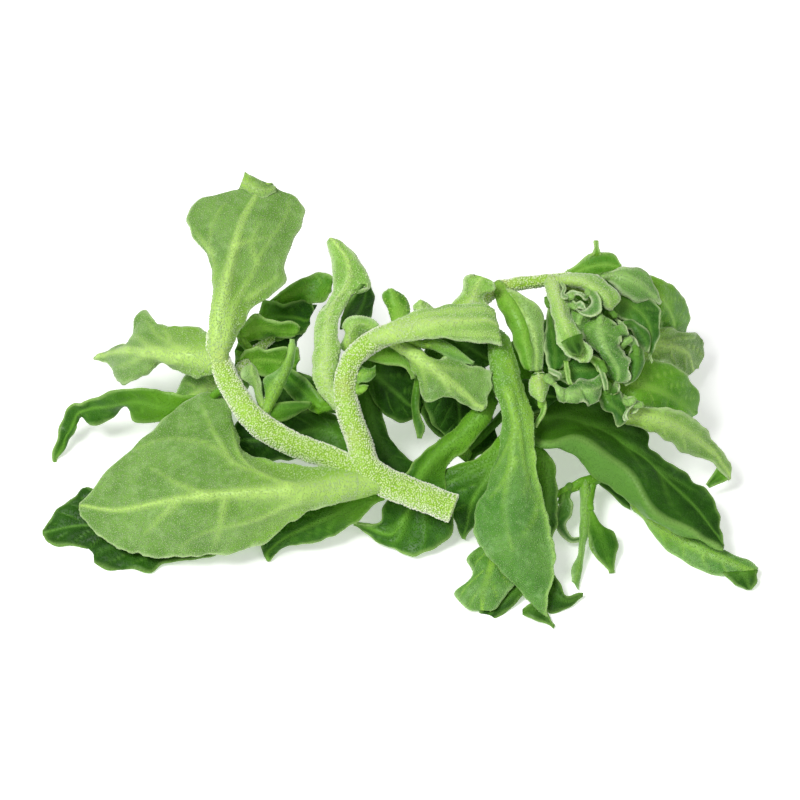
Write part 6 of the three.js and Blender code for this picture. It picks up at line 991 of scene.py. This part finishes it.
class Sheet:
    """The grid of a blade, and where each of its points lies between edges, rib, base and tip."""

    def __init__(self, blade):
        self.blade = blade
        self.heel = heel_of(blade)
        self.rows, self.places, self.share = blade_rows(blade)
        self.normals = normals_of(self.rows)
        if (self.normals.sum(axis=(0, 1)) @ FACING) < 0:
            self.normals = -self.normals
        self.run = runs(self.rows, axis=1)
        self.span = self.run[:, -1:]
        self.to_edge = np.minimum(self.run, self.span - self.run)
        self.rib_run = self.run_to(blade["rib"])
        self.from_rib = self.run - self.rib_run
        self.along = runs(self.rows[:, self.rows.shape[1] // 2])
        self.size = min(1, self.span.max() / FULL_SIZE)
        self.vein, self.between = self.veins()
        self.rib_reach = self.rib_width()

    def run_to(self, place):
        """Distance from the first edge to a line that runs along the blade."""
        return np.array([np.interp(place, self.places, row) for row in self.run])[:, None]

    def veins(self):
        lines = of_main(VEINS, self.blade)
        if lines is not None:
            return drawn(self.rows, self.places, self.share, points_of(lines))
        width = np.where(self.from_rib < 0, self.rib_run, self.span - self.rib_run)
        return pinnate(self.blade, self.along, self.from_rib, width)

    def rib_width(self):
        reach = RIB_NARROW + RIB_WIDE * (1 - self.share) ** RIB_TAPER
        reach = np.minimum(reach, RIB_MOST * self.run[:, -1])[:, None]
        return reach * (RIB_ABOVE if self.blade["upper"] else 1)

    def waved(self, seed):
        """The grid with its veins, pleats, ripples and scallops."""
        frill, size = self.blade["frill"], self.size
        beneath = -1 if self.blade["upper"] else 1
        inside = smooth(self.to_edge / VEIN_END)
        lift = beneath * (0.5 * VEIN_RAISE * self.vein - QUILT * self.between * inside) * size
        lift = lift * of_main(PLEATS, self.blade, 1)
        border = np.exp(-(self.to_edge / EDGE_REACH) ** 2)
        ripple = border * uneven(self.rows, RIPPLE_LENGTH, seed) * RIPPLE * frill
        free = smooth(self.share / CALM_BASE)[:, None]
        waver = WAVER * size * uneven(self.rows, WAVER_LENGTH, seed + 1)
        lift = (lift + ripple * size + waver) * free
        edge = border * min(1, self.span.max() / SCALLOP_FULL) * free
        wander = edge * uneven(self.rows, SCALLOP_LENGTH, seed + 2) * SCALLOP * frill
        outward = unit(np.gradient(self.rows, axis=1))
        return self.rows + self.normals * lift[..., None] + outward * wander[..., None]

    def halves(self):
        """How far the front and the back of the blade lie from its middle."""
        thick, heel = self.blade["thick"], self.heel
        from_tip = self.along[-1] - self.along
        to_end = (from_tip if heel else np.minimum(self.along, from_tip))[:, None]
        border = np.minimum(self.to_edge, to_end + END_INSET)
        swell = np.sqrt(1 - (1 - np.clip(border / thick, 0, 1)) ** 2)
        half = EDGE_THICK / 2 + (thick - EDGE_THICK) / 2 * swell
        height = value_at(self.blade["ridge"], self.share) * RIB_HIGH
        if heel:
            radius = np.minimum(heel[1], HEEL_MOST * self.run[:, -1]) * (1 - smooth(self.share / heel[2]))
            off_centre = (self.run - self.span / 2) / (self.span / 2)
            half = np.maximum(half, radius[:, None] * np.sqrt(np.clip(1 - off_centre ** 2, 0, 1)))
            if self.blade["node"] in HEELS:
                height = np.maximum(height - radius, RIB_LEAST)
        rib = np.exp(-(self.from_rib / self.rib_reach) ** 2)
        keel = rib * height[:, None] + VEIN_RAISE * self.vein * self.size
        groove = GROOVE * np.exp(-(self.from_rib / GROOVE_WIDTH) ** 2) * self.size
        return (half - groove, half + keel) if self.blade["upper"] else (half + keel, half - groove)

    def marks(self):
        """How much of each point is rib, vein, rim, fresh base, or turned over."""
        zero = 0 * self.run
        rim = np.exp(-(self.to_edge / RIM_WIDTH) ** 2) * smooth(self.share / RIM_FROM)[:, None]
        turned = zero
        fold = of_main(TURNED, self.blade)
        if fold:
            rim = np.maximum(rim, np.exp(-((self.run - self.run_to(fold)) / FOLD_WIDTH) ** 2))
            turned = smooth((self.places - fold) / FOLD_BLEND)[None] + zero
        rib = np.exp(-(self.from_rib / (RIB_PALE * self.rib_reach)) ** 2)
        return {
            "rib": rib * min(1, self.size * RIB_SHOWS),
            "vein": self.vein * smooth(self.to_edge / VEIN_END),
            "rim": rim,
            "fresh": smooth(1 - self.share * FRESH_FADE)[:, None] + zero,
            "turned": turned,
        }

    def faces(self, seed):
        """Points of the front and back of the blade, and its normals."""
        middle = self.waved(seed)
        front, back = self.halves()
        normals = normals_of(middle)
        normals = normals * np.sign((normals * self.normals).sum(-1, keepdims=True))
        return middle + normals * front[..., None], middle - normals * back[..., None], normals


class Skin:
    """Collects the points, faces, materials and marks of one piece."""

    def __init__(self):
        self.points, self.faces, self.kinds, self.marks = [], [], [], []
        self.count = 0

    def add(self, points, faces, kinds, marks):
        self.points.append(points)
        self.faces.append(np.asarray(faces) + self.count)
        self.kinds.append(np.broadcast_to(kinds, len(faces)))
        self.marks.append({k: np.broadcast_to(v, len(points)) for k, v in marks.items()})
        self.count += len(points)

    def piece(self, name, materials):
        points = np.vstack(self.points) * MM
        faces = np.vstack(self.faces)
        mesh = bpy.data.meshes.new(name)
        mesh.vertices.add(len(points))
        mesh.vertices.foreach_set("co", points.astype(np.float32).ravel())
        mesh.loops.add(faces.size)
        mesh.loops.foreach_set("vertex_index", faces.astype(np.int32).ravel())
        mesh.polygons.add(len(faces))
        mesh.polygons.foreach_set("loop_start", np.arange(0, faces.size, 3, dtype=np.int32))
        mesh.polygons.foreach_set("material_index", np.concatenate(self.kinds).astype(np.int32))
        mesh.polygons.foreach_set("use_smooth", np.ones(len(faces), bool))
        for mark in MARKS:
            layer = mesh.attributes.new(mark, "FLOAT", "POINT")
            values = [m.get(mark, np.zeros(len(p))) for m, p in zip(self.marks, self.points)]
            layer.data.foreach_set("value", np.concatenate(values).astype(np.float32))
        mesh.update(calc_edges=True)
        mesh.validate()
        for material in materials:
            mesh.materials.append(material)
        return placed(name, mesh)


def placed(name, data):
    """An object with the given data, in the scene."""
    made = bpy.data.objects.new(name, data)
    bpy.context.scene.collection.objects.link(made)
    return made


def flush_at(points):
    """How pink the skin is at each point."""
    total = np.zeros(len(points))
    for place in FLUSHES:
        total = np.maximum(total, np.exp(-(np.linalg.norm(points - place, axis=1) / FLUSH_REACH) ** 2))
    return total


def sheet_faces(n, m):
    """Triangles of two matching grids and of the rim between them; the second grid comes after."""
    i, j = np.meshgrid(np.arange(n - 1), np.arange(m - 1), indexing="ij")
    a = (i * m + j).ravel()
    b, c, d = a + 1, a + 1 + m, a + m
    half = n * m
    front = np.vstack([np.column_stack([a, b, c]), np.column_stack([a, c, d])])
    back = front[:, ::-1] + half
    border = np.concatenate([np.arange(m - 1), np.arange(n - 1) * m + m - 1,
                             n * m - 1 - np.arange(m - 1), (n - 1 - np.arange(n - 1)) * m])
    after = np.roll(border, -1)
    rim = np.vstack([np.column_stack([after, border, border + half]),
                     np.column_stack([after, border + half, after + half])])
    return front, back, rim


def add_blade(skin, blade, kind, seed):
    """Both faces and the rim of a blade; kind is the number of its first material."""
    sheet = Sheet(blade)
    front, back, normals = sheet.faces(seed)
    faces = sheet_faces(*front.shape[:2])
    points = np.vstack([front.reshape(-1, 3), back.reshape(-1, 3)])
    corners = points[faces[0]]
    turn = np.cross(corners[:, 1] - corners[:, 0], corners[:, 2] - corners[:, 0])
    if (turn * normals.reshape(-1, 3)[faces[0][:, 0]]).sum() < 0:
        faces = [f[:, ::-1] for f in faces]
    kinds = np.concatenate([np.full(len(f), k) for f, k in zip(faces, (kind, kind + 1, kind))])
    marks = {k: np.tile(v.ravel(), 2) for k, v in sheet.marks().items()}
    marks["flush"] = flush_at(points) * FLUSH_ON_BLADE
    skin.add(points, np.vstack(faces), kinds, marks)
    return front, back, normals


def scattered(grid, apart, rng):
    """Places spread loosely over a grid, about the given distance from each other."""
    length = runs(grid[:, grid.shape[1] // 2])[-1]
    width = runs(grid, axis=1)[:, -1]
    u, v = [], []
    for share in np.arange(apart / 2, length, apart) / length:
        count = int(np.interp(share, np.linspace(0, 1, len(width)), width) / apart)
        u.append(share + rng.uniform(*JITTER_ALONG, count) * apart / length)
        v.append((np.arange(count) + rng.uniform(*JITTER_ACROSS, count)) / max(count, 1))
    return np.concatenate(u), np.concatenate(v)


def dome(sides):
    """A small swollen cell: two rings of points and a top, sunk a little into the skin."""
    turn = np.arange(sides) / sides * 2 * math.pi
    rings = [np.column_stack([r * np.cos(turn), r * np.sin(turn), np.full(sides, z)]) for r, z in CELL_RINGS]
    faces = []
    for k in range(sides):
        after = (k + 1) % sides
        faces.append((k, after, after + sides))
        faces.append((k, after + sides, k + sides))
        faces.append((k + sides, after + sides, 2 * sides))
    return np.vstack([*rings, [[0, 0, CELL_TOP]]]), np.array(faces)


LARGE_CELL, SMALL_CELL = dome(4), dome(3)


def add_cells(skin, places, normals, kind, rng, scale=1.0):
    """Swollen cells at places on the skin, standing along its normals; their flanks get painted sheen."""
    keep = places[:, 2] > CELL_FLOOR
    places, normals = places[keep], normals[keep]
    if not len(places):
        return
    p, faces = LARGE_CELL if scale > LARGE_FROM else SMALL_CELL
    radius = (rng.uniform(*CELL_RADIUS, len(places)) * scale)[:, None, None]
    side = unit(np.cross(normals, SIDEWAYS) + 1e-4)
    other = np.cross(normals, side)
    tall = rng.uniform(*CELL_HEIGHT, len(places))[:, None, None]
    shape = p[None, :, 0:1] * side[:, None] + p[None, :, 1:2] * other[:, None]
    points = places[:, None] + radius * (shape + p[None, :, 2:3] * tall * normals[:, None])
    faces = faces[None] + np.arange(len(places))[:, None, None] * len(p)
    # Painted sheen: the more a cell turns away from the side seen from above, the higher its rim mark, which
    # whitens it.
    painted_sheen = (1 - np.minimum(np.abs(normals @ FACING), 1)) ** PAINTED_SHEEN_POWER
    skin.add(points.reshape(-1, 3), faces.reshape(-1, 3), kind, {"rim": np.repeat(painted_sheen, len(p))})


def add_blade_cells(skin, blade, faces, normals, kinds, rng):
    """Cells over both faces of a blade, and closer together on its rib, edge and thick base."""
    front, back = faces
    kind, reverse = kinds
    size = SKIN_KINDS[blade["tint"]]["size"]

    def on(grid, outward, u, v, sign, cell, scale):
        add_cells(skin, sample(grid, u, v), sign * unit(sample(outward, u, v)), cell, rng, scale)

    on(front, normals, *scattered(front, SKIN_KINDS[blade["tint"]]["apart"], rng), 1, kind, size)
    on(back, normals, *scattered(back, APART_BEHIND, rng), -1, reverse, SIZE_BEHIND)
    middle = (front + back) / 2
    outward = unit(np.gradient(middle, axis=1))
    for edge, sign in ((0, -1), (1, 1)):
        count = int(runs(middle[:, -edge])[-1] / APART_ON_EDGE)
        u = (np.arange(count) + rng.uniform(0, 1, count)) / max(count, 1)
        on(middle, outward, u, np.full(count, float(edge)), sign, kind, size * SIZE_ON_EDGE)
    length = runs(front[:, front.shape[1] // 2])[-1]
    if not blade["upper"]:
        count = int(length / APART_ON_EDGE * RIB_CELLS)
        u = rng.beta(*RIB_CROWD, count)
        scatter = rng.normal(0, RIB_SCATTER, count) * (RIB_SPREAD - u)
        v = blade["rib"] / (len(blade["lines"]) - 1) + scatter
        on(front, normals, u, v, 1, kind, size * SIZE_ON_RIB)
    heel = of_main(HEELS, blade)
    if heel:
        count = int(heel[2] * length * heel[1] * HEEL_CELLS)
        u = rng.beta(*HEEL_CROWD, count) * heel[2]
        v = rng.uniform(0, 1, count)
        on(front, normals, u, v, 1, kind, SIZE_ON_HEEL)
        on(back, normals, u, v, -1, reverse, SIZE_ON_HEEL)


def end_rings(radius, rounded):
    """Radii of the rings that close an end of a tube, and how far out they stand; a cut is flat."""
    out = radius * np.sin(END_ANGLES) if rounded else np.minimum(END_ANGLES, CUT_ANGLE) * CUT_BULGE
    return radius * np.cos(END_ANGLES), out


def tube(route, radii, sides, step, seed, rounded, lumps):
    """Rings of points round a route, with faint ridges and closed ends."""
    length = runs(spline(route, np.linspace(0, len(route) - 1, CURVE_POINTS)))[-1]
    share = np.linspace(0, 1, max(int(length / step), LEAST_RINGS) + 1)
    centre = at_shares(route, share)
    radius = value_at(radii, share)
    forward = unit(np.gradient(centre, axis=0))
    first, first_out = end_rings(radius[0], rounded[0])
    last, last_out = end_rings(radius[-1], rounded[1])
    centre = np.vstack([centre[0] - forward[0] * first_out[::-1][:, None], centre,
                        centre[-1] + forward[-1] * last_out[:, None]])
    radius = np.concatenate([first[::-1], radius, last])
    ends = len(END_ANGLES)
    forward = np.vstack([np.repeat(forward[:1], ends, 0), forward, np.repeat(forward[-1:], ends, 0)])
    u = unit(SIDEWAYS - forward * (forward @ unit(SIDEWAYS))[:, None])
    v = np.cross(forward, u)
    turn = np.arange(sides) / sides * 2 * math.pi
    out = u[:, None] * np.cos(turn)[None, :, None] + v[:, None] * np.sin(turn)[None, :, None]
    rings = centre[:, None] + out * radius[:, None, None]
    ridge = RIDGE_HIGH * np.sin(turn * STEM_RIDGES + RIDGE_TURN)[None] * radius[:, None]
    return rings + out * (uneven(rings, LUMP_LENGTH, seed) * lumps + ridge)[..., None], out


def tube_faces(n, m):
    """Triangles of the rings of a tube and of its two ends."""
    i, j = np.meshgrid(np.arange(n - 1), np.arange(m), indexing="ij")
    a = (i * m + j).ravel()
    b = (i * m + (j + 1) % m).ravel()
    k = np.arange(1, m - 1)
    last = (n - 1) * m
    return np.vstack([np.column_stack([a, b, b + m]), np.column_stack([a, b + m, a + m]),
                      np.column_stack([0 * k, k + 1, k]),
                      np.column_stack([0 * k + last, k + last, k + 1 + last])])


def add_tube(skin, shape, marks, kinds, apart, scale, seed):
    """A tube and the cells on it."""
    rings, out = shape
    points = rings.reshape(-1, 3)
    skin.add(points, tube_faces(*rings.shape[:2]), kinds[0], {"flush": flush_at(points), **marks})
    closed = np.concatenate([rings, rings[:, :1]], axis=1)
    facing = np.concatenate([out, out[:, :1]], axis=1)
    rng = np.random.default_rng(seed)
    u, v = scattered(closed, apart, rng)
    add_cells(skin, sample(closed, u, v), unit(sample(facing, u, v)), kinds[1], rng, scale)


def add_stem(skin, node, tint, kinds, seed):
    """A stem; the main one ends in a flat cut."""
    points = np.array(points_of(STEMS[node])[0])
    rounded = (node != "stem_main", True)
    shape = tube(points[:, :3], points[:, 3], STEM_SIDES, STEM_STEP, seed, rounded, STEM_LUMPS)
    add_tube(skin, shape, STEM_MARKS, kinds, SKIN_KINDS[tint]["apart"], 1.0, seed)


def add_stalk(skin, blade, kinds, seed):
    """The short stalk from a blade's base to its stem."""
    base, second = middle_line(blade)[:2]
    root = np.array(blade["root"], float)
    bend = (root + base) / 2 + (0, 0, -STALK_SAG)
    route = [root, bend, base, base + unit(second - base) * STALK_DEPTH]
    shape = tube(route, STALK_RADII, STALK_SIDES, STALK_STEP, seed, (True, True), STALK_LUMPS)
    add_tube(skin, shape, STALK_MARKS, kinds, SKIN_KINDS["pale"]["apart"], SIZE_ON_STALK, seed)


def linear(text):
    """A colour of the screen, such as 9ebb79, as the linear values that materials take."""
    values = [int(text[i:i + 2], 16) / 255 for i in (0, 2, 4)]
    return (*(v / 12.92 if v <= 0.04045 else ((v + 0.055) / 1.055) ** 2.4 for v in values), 1)


def look_of(tint):
    """The colours of a skin by their names."""
    return {name: linear(text) for name, text in zip(COLOURS, SKIN_KINDS[tint]["colours"].split())}


def feed(tree, socket, value):
    """Links a socket to another one, or sets it."""
    if isinstance(value, bpy.types.NodeSocket):
        tree.links.new(value, socket)
    else:
        socket.default_value = value


def settle(tree, node, **sockets):
    """Feeds the sockets of a node by their names."""
    for name, value in sockets.items():
        feed(tree, node.inputs[name.replace("_", " ")], value)
    return node


def put(tree, kind, **sockets):
    """A new node with its sockets fed."""
    return settle(tree, tree.nodes.new(kind), **sockets)


def mixed(tree, factor, first, second):
    """A mix of two colours."""
    made = tree.nodes.new("ShaderNodeMix")
    made.data_type = "RGBA"
    for index, value in ((0, factor), (6, first), (7, second)):
        feed(tree, made.inputs[index], value)
    return made.outputs[2]


def spread(tree, value, low, high, to_low=0.0, to_high=1.0):
    """A value stretched from one range to another."""
    made = put(tree, "ShaderNodeMapRange", Value=value, From_Min=low, From_Max=high,
               To_Min=to_low, To_Max=to_high)
    made.interpolation_type = "SMOOTHSTEP"
    return made.outputs["Result"]


def sums(tree, kind, first, second):
    """The sum, difference or product of two values."""
    made = tree.nodes.new("ShaderNodeMath")
    made.operation = kind
    for index, value in enumerate((first, second)):
        feed(tree, made.inputs[index], value)
    return made.outputs[0]


def noise(tree, place, size):
    """Noise with lumps of the given size in millimetres."""
    made = put(tree, "ShaderNodeTexNoise", Vector=place, Scale=1000 / size, Detail=3.0, Roughness=0.55)
    return made.outputs["Fac"]


def mark(tree, name, amount=1.0):
    """A mark of the skin, weakened to the given amount."""
    made = tree.nodes.new("ShaderNodeAttribute")
    made.attribute_name = name
    return made.outputs["Fac"] if amount == 1 else sums(tree, "MULTIPLY", made.outputs["Fac"], amount)


def new_material(name):
    """A material, its tree and shader, and the place on the object that patterns are laid out by."""
    material = bpy.data.materials.new(name)
    material.use_nodes = True
    tree = material.node_tree
    place = tree.nodes.new("ShaderNodeTexCoord").outputs["Object"]
    return material, tree, tree.nodes["Principled BSDF"], place


def skin_material(tint):
    """Moist leaf or stem skin: patches, pale veins and rim, and a fine grain of bladder cells."""
    kind, look = SKIN_KINDS[tint], look_of(tint)
    material, tree, shader, place = new_material("skin_" + tint)
    patches = noise(tree, place, PATCH)
    small = noise(tree, place, MOTTLE)
    grain = put(tree, "ShaderNodeTexVoronoi", Vector=place, Scale=1000 / CELL).outputs["Distance"]
    bead = spread(tree, grain, 0.15, 0.5, 1.0, 0.0)
    hollow = sums(tree, "SUBTRACT", 1.0, bead)
    colour = mixed(tree, spread(tree, patches, 0.35, 0.65), look["deep"], look["main"])
    colour = mixed(tree, spread(tree, small, 0.45, 0.8, 0.0, 0.5), colour, look["light"])
    colour = mixed(tree, mark(tree, "fresh", 0.75), colour, look["base"])
    if kind["reverse"]:
        colour = mixed(tree, mark(tree, "turned"), colour, look_of(kind["reverse"])["main"])
    colour = mixed(tree, sums(tree, "MULTIPLY", hollow, 0.5 * kind["grain"]), colour, look["deep"])
    colour = mixed(tree, sums(tree, "MULTIPLY", bead, kind["grain"]), colour, look["light"])
    for name, amount, over in MARK_COLOURS:
        colour = mixed(tree, mark(tree, name, amount), colour, look[over])
    height = sums(tree, "ADD", bead, sums(tree, "MULTIPLY", small, 0.8))
    bump = put(tree, "ShaderNodeBump", Strength=0.5 + kind["grain"], Distance=0.0002, Height=height)
    settle(tree, shader, Base_Color=colour, Roughness=spread(tree, small, 0.3, 0.7, *SKIN_ROUGH),
           Specular_IOR_Level=kind["gloss"], Subsurface_Weight=0.2, Subsurface_Radius=(0.9, 1.2, 0.4),
           Subsurface_Scale=0.001, Sheen_Weight=kind["sheen"], Sheen_Roughness=0.35,
           Normal=bump.outputs["Normal"])
    return material


def cell_material(tint):
    """Glossy swollen cells full of sap, mottled paler at random, with painted sheen on their flanks from the
    rim mark.
    """
    kind, look = SKIN_KINDS[tint], look_of(tint)
    material, tree, shader, place = new_material("cells_" + tint)
    small = noise(tree, place, CELL_MOTTLE)
    # Painted sheen: the rim mark whitens the flanks of cells towards the cell colour, on top of a random
    # mottle.
    mottle_and_painted_sheen = sums(tree, "ADD", spread(tree, small, 0.35, 0.7, 0.0, 0.6), mark(tree, "rim"))
    settle(tree, shader, Base_Color=mixed(tree, mottle_and_painted_sheen, look["light"], look["cell"]),
           Roughness=spread(tree, small, 0.3, 0.7, *CELL_ROUGH), Specular_IOR_Level=0.7 * kind["gloss"],
           Subsurface_Weight=0.3, Subsurface_Radius=(0.6, 0.8, 0.4), Subsurface_Scale=0.0006,
           Sheen_Weight=kind["sheen"])
    return material


SKINS = {tint: skin_material(tint) for tint in SKIN_KINDS}
CELLS = {tint: cell_material(tint) for tint in SKIN_KINDS}


def make_piece(node, number):
    """The whole of one node: its stem, blades, stalks and cells."""
    skin = Skin()
    materials = []
    seed = SEED + NODE_SEEDS * number
    if node in STEMS:
        tint = STEM_SKINS.get(node, "stem")
        materials += [SKINS[tint], CELLS[tint]]
        add_stem(skin, node, tint, (0, 1), seed)
        seed += PART_SEEDS
    for blade in (b for b in LEAVES if b["node"] == node):
        first = len(materials)
        tint = blade["tint"]
        reverse = SKIN_KINDS[tint]["reverse"]
        materials += [SKINS[tint], SKINS[reverse], CELLS[tint], CELLS[reverse]]
        front, back, normals = add_blade(skin, blade, first, seed)
        rng = np.random.default_rng(seed)
        add_blade_cells(skin, blade, (front, back), normals, (first + 2, first + 3), rng)
        if blade["root"]:
            add_stalk(skin, blade, (first, first + 2), seed + STALK_SEED)
        seed += PART_SEEDS
    piece = skin.piece("leafy_" + node, materials)
    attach(piece, "root")
    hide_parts(node)
    return piece


def make_floor():
    """A plain pale sheet of paper."""
    mesh = bpy.data.meshes.new("floor")
    h = FLOOR_HALF * MM
    mesh.from_pydata([(-h, -h, 0), (h, -h, 0), (h, h, 0), (-h, h, 0)], [], [(0, 1, 2, 3)])
    floor = placed("floor", mesh)
    material, tree, shader, place = new_material("paper")
    colour = mixed(tree, noise(tree, place, PAPER_PATCH), (0.98, 0.98, 0.98, 1), (1, 1, 0.995, 1))
    settle(tree, shader, Base_Color=colour, Roughness=0.8, Emission_Color=(1, 1, 1, 1),
           Emission_Strength=FLOOR_GLOW, Specular_IOR_Level=0.1)
    mesh.materials.append(material)
    floor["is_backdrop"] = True


def aimed(made, place):
    """Sets an object at a place, turned towards the sprig."""
    made.location = Vector(place) * MM
    made.rotation_euler = (Vector(AIM) - Vector(place)).to_track_quat("-Z", "Y").to_euler()


def make_light(name, place, power, size):
    """A square lamp that faces the sprig."""
    light = bpy.data.lights.new(name, "AREA")
    light.energy = power
    light.size = size
    aimed(placed(name, light), place)


def make_camera():
    """The camera of the photo: in front of the sprig and high above it."""
    data = bpy.data.cameras.new("camera")
    data.lens = LENS
    data.sensor_width = SENSOR
    data.clip_start, data.clip_end = CLIP
    camera = placed("camera", data)
    aimed(camera, CAMERA)
    bpy.context.scene.camera = camera


def make_world():
    """Even white light from all round."""
    world = bpy.data.worlds.new("studio")
    bpy.context.scene.world = world
    world.use_nodes = True
    settle(world.node_tree, world.node_tree.nodes["Background"], Color=(1, 1, 1, 1), Strength=SKY)
    bpy.context.scene.view_settings.view_transform = "Standard"


def corners():
    """The box round what stands in the scene."""
    return [list(corner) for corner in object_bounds()]


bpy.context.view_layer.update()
for number, node in enumerate(sorted(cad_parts)):
    make_piece(node, number)
make_floor()
for light in LIGHTS:
    make_light(*light)
make_world()
make_camera()
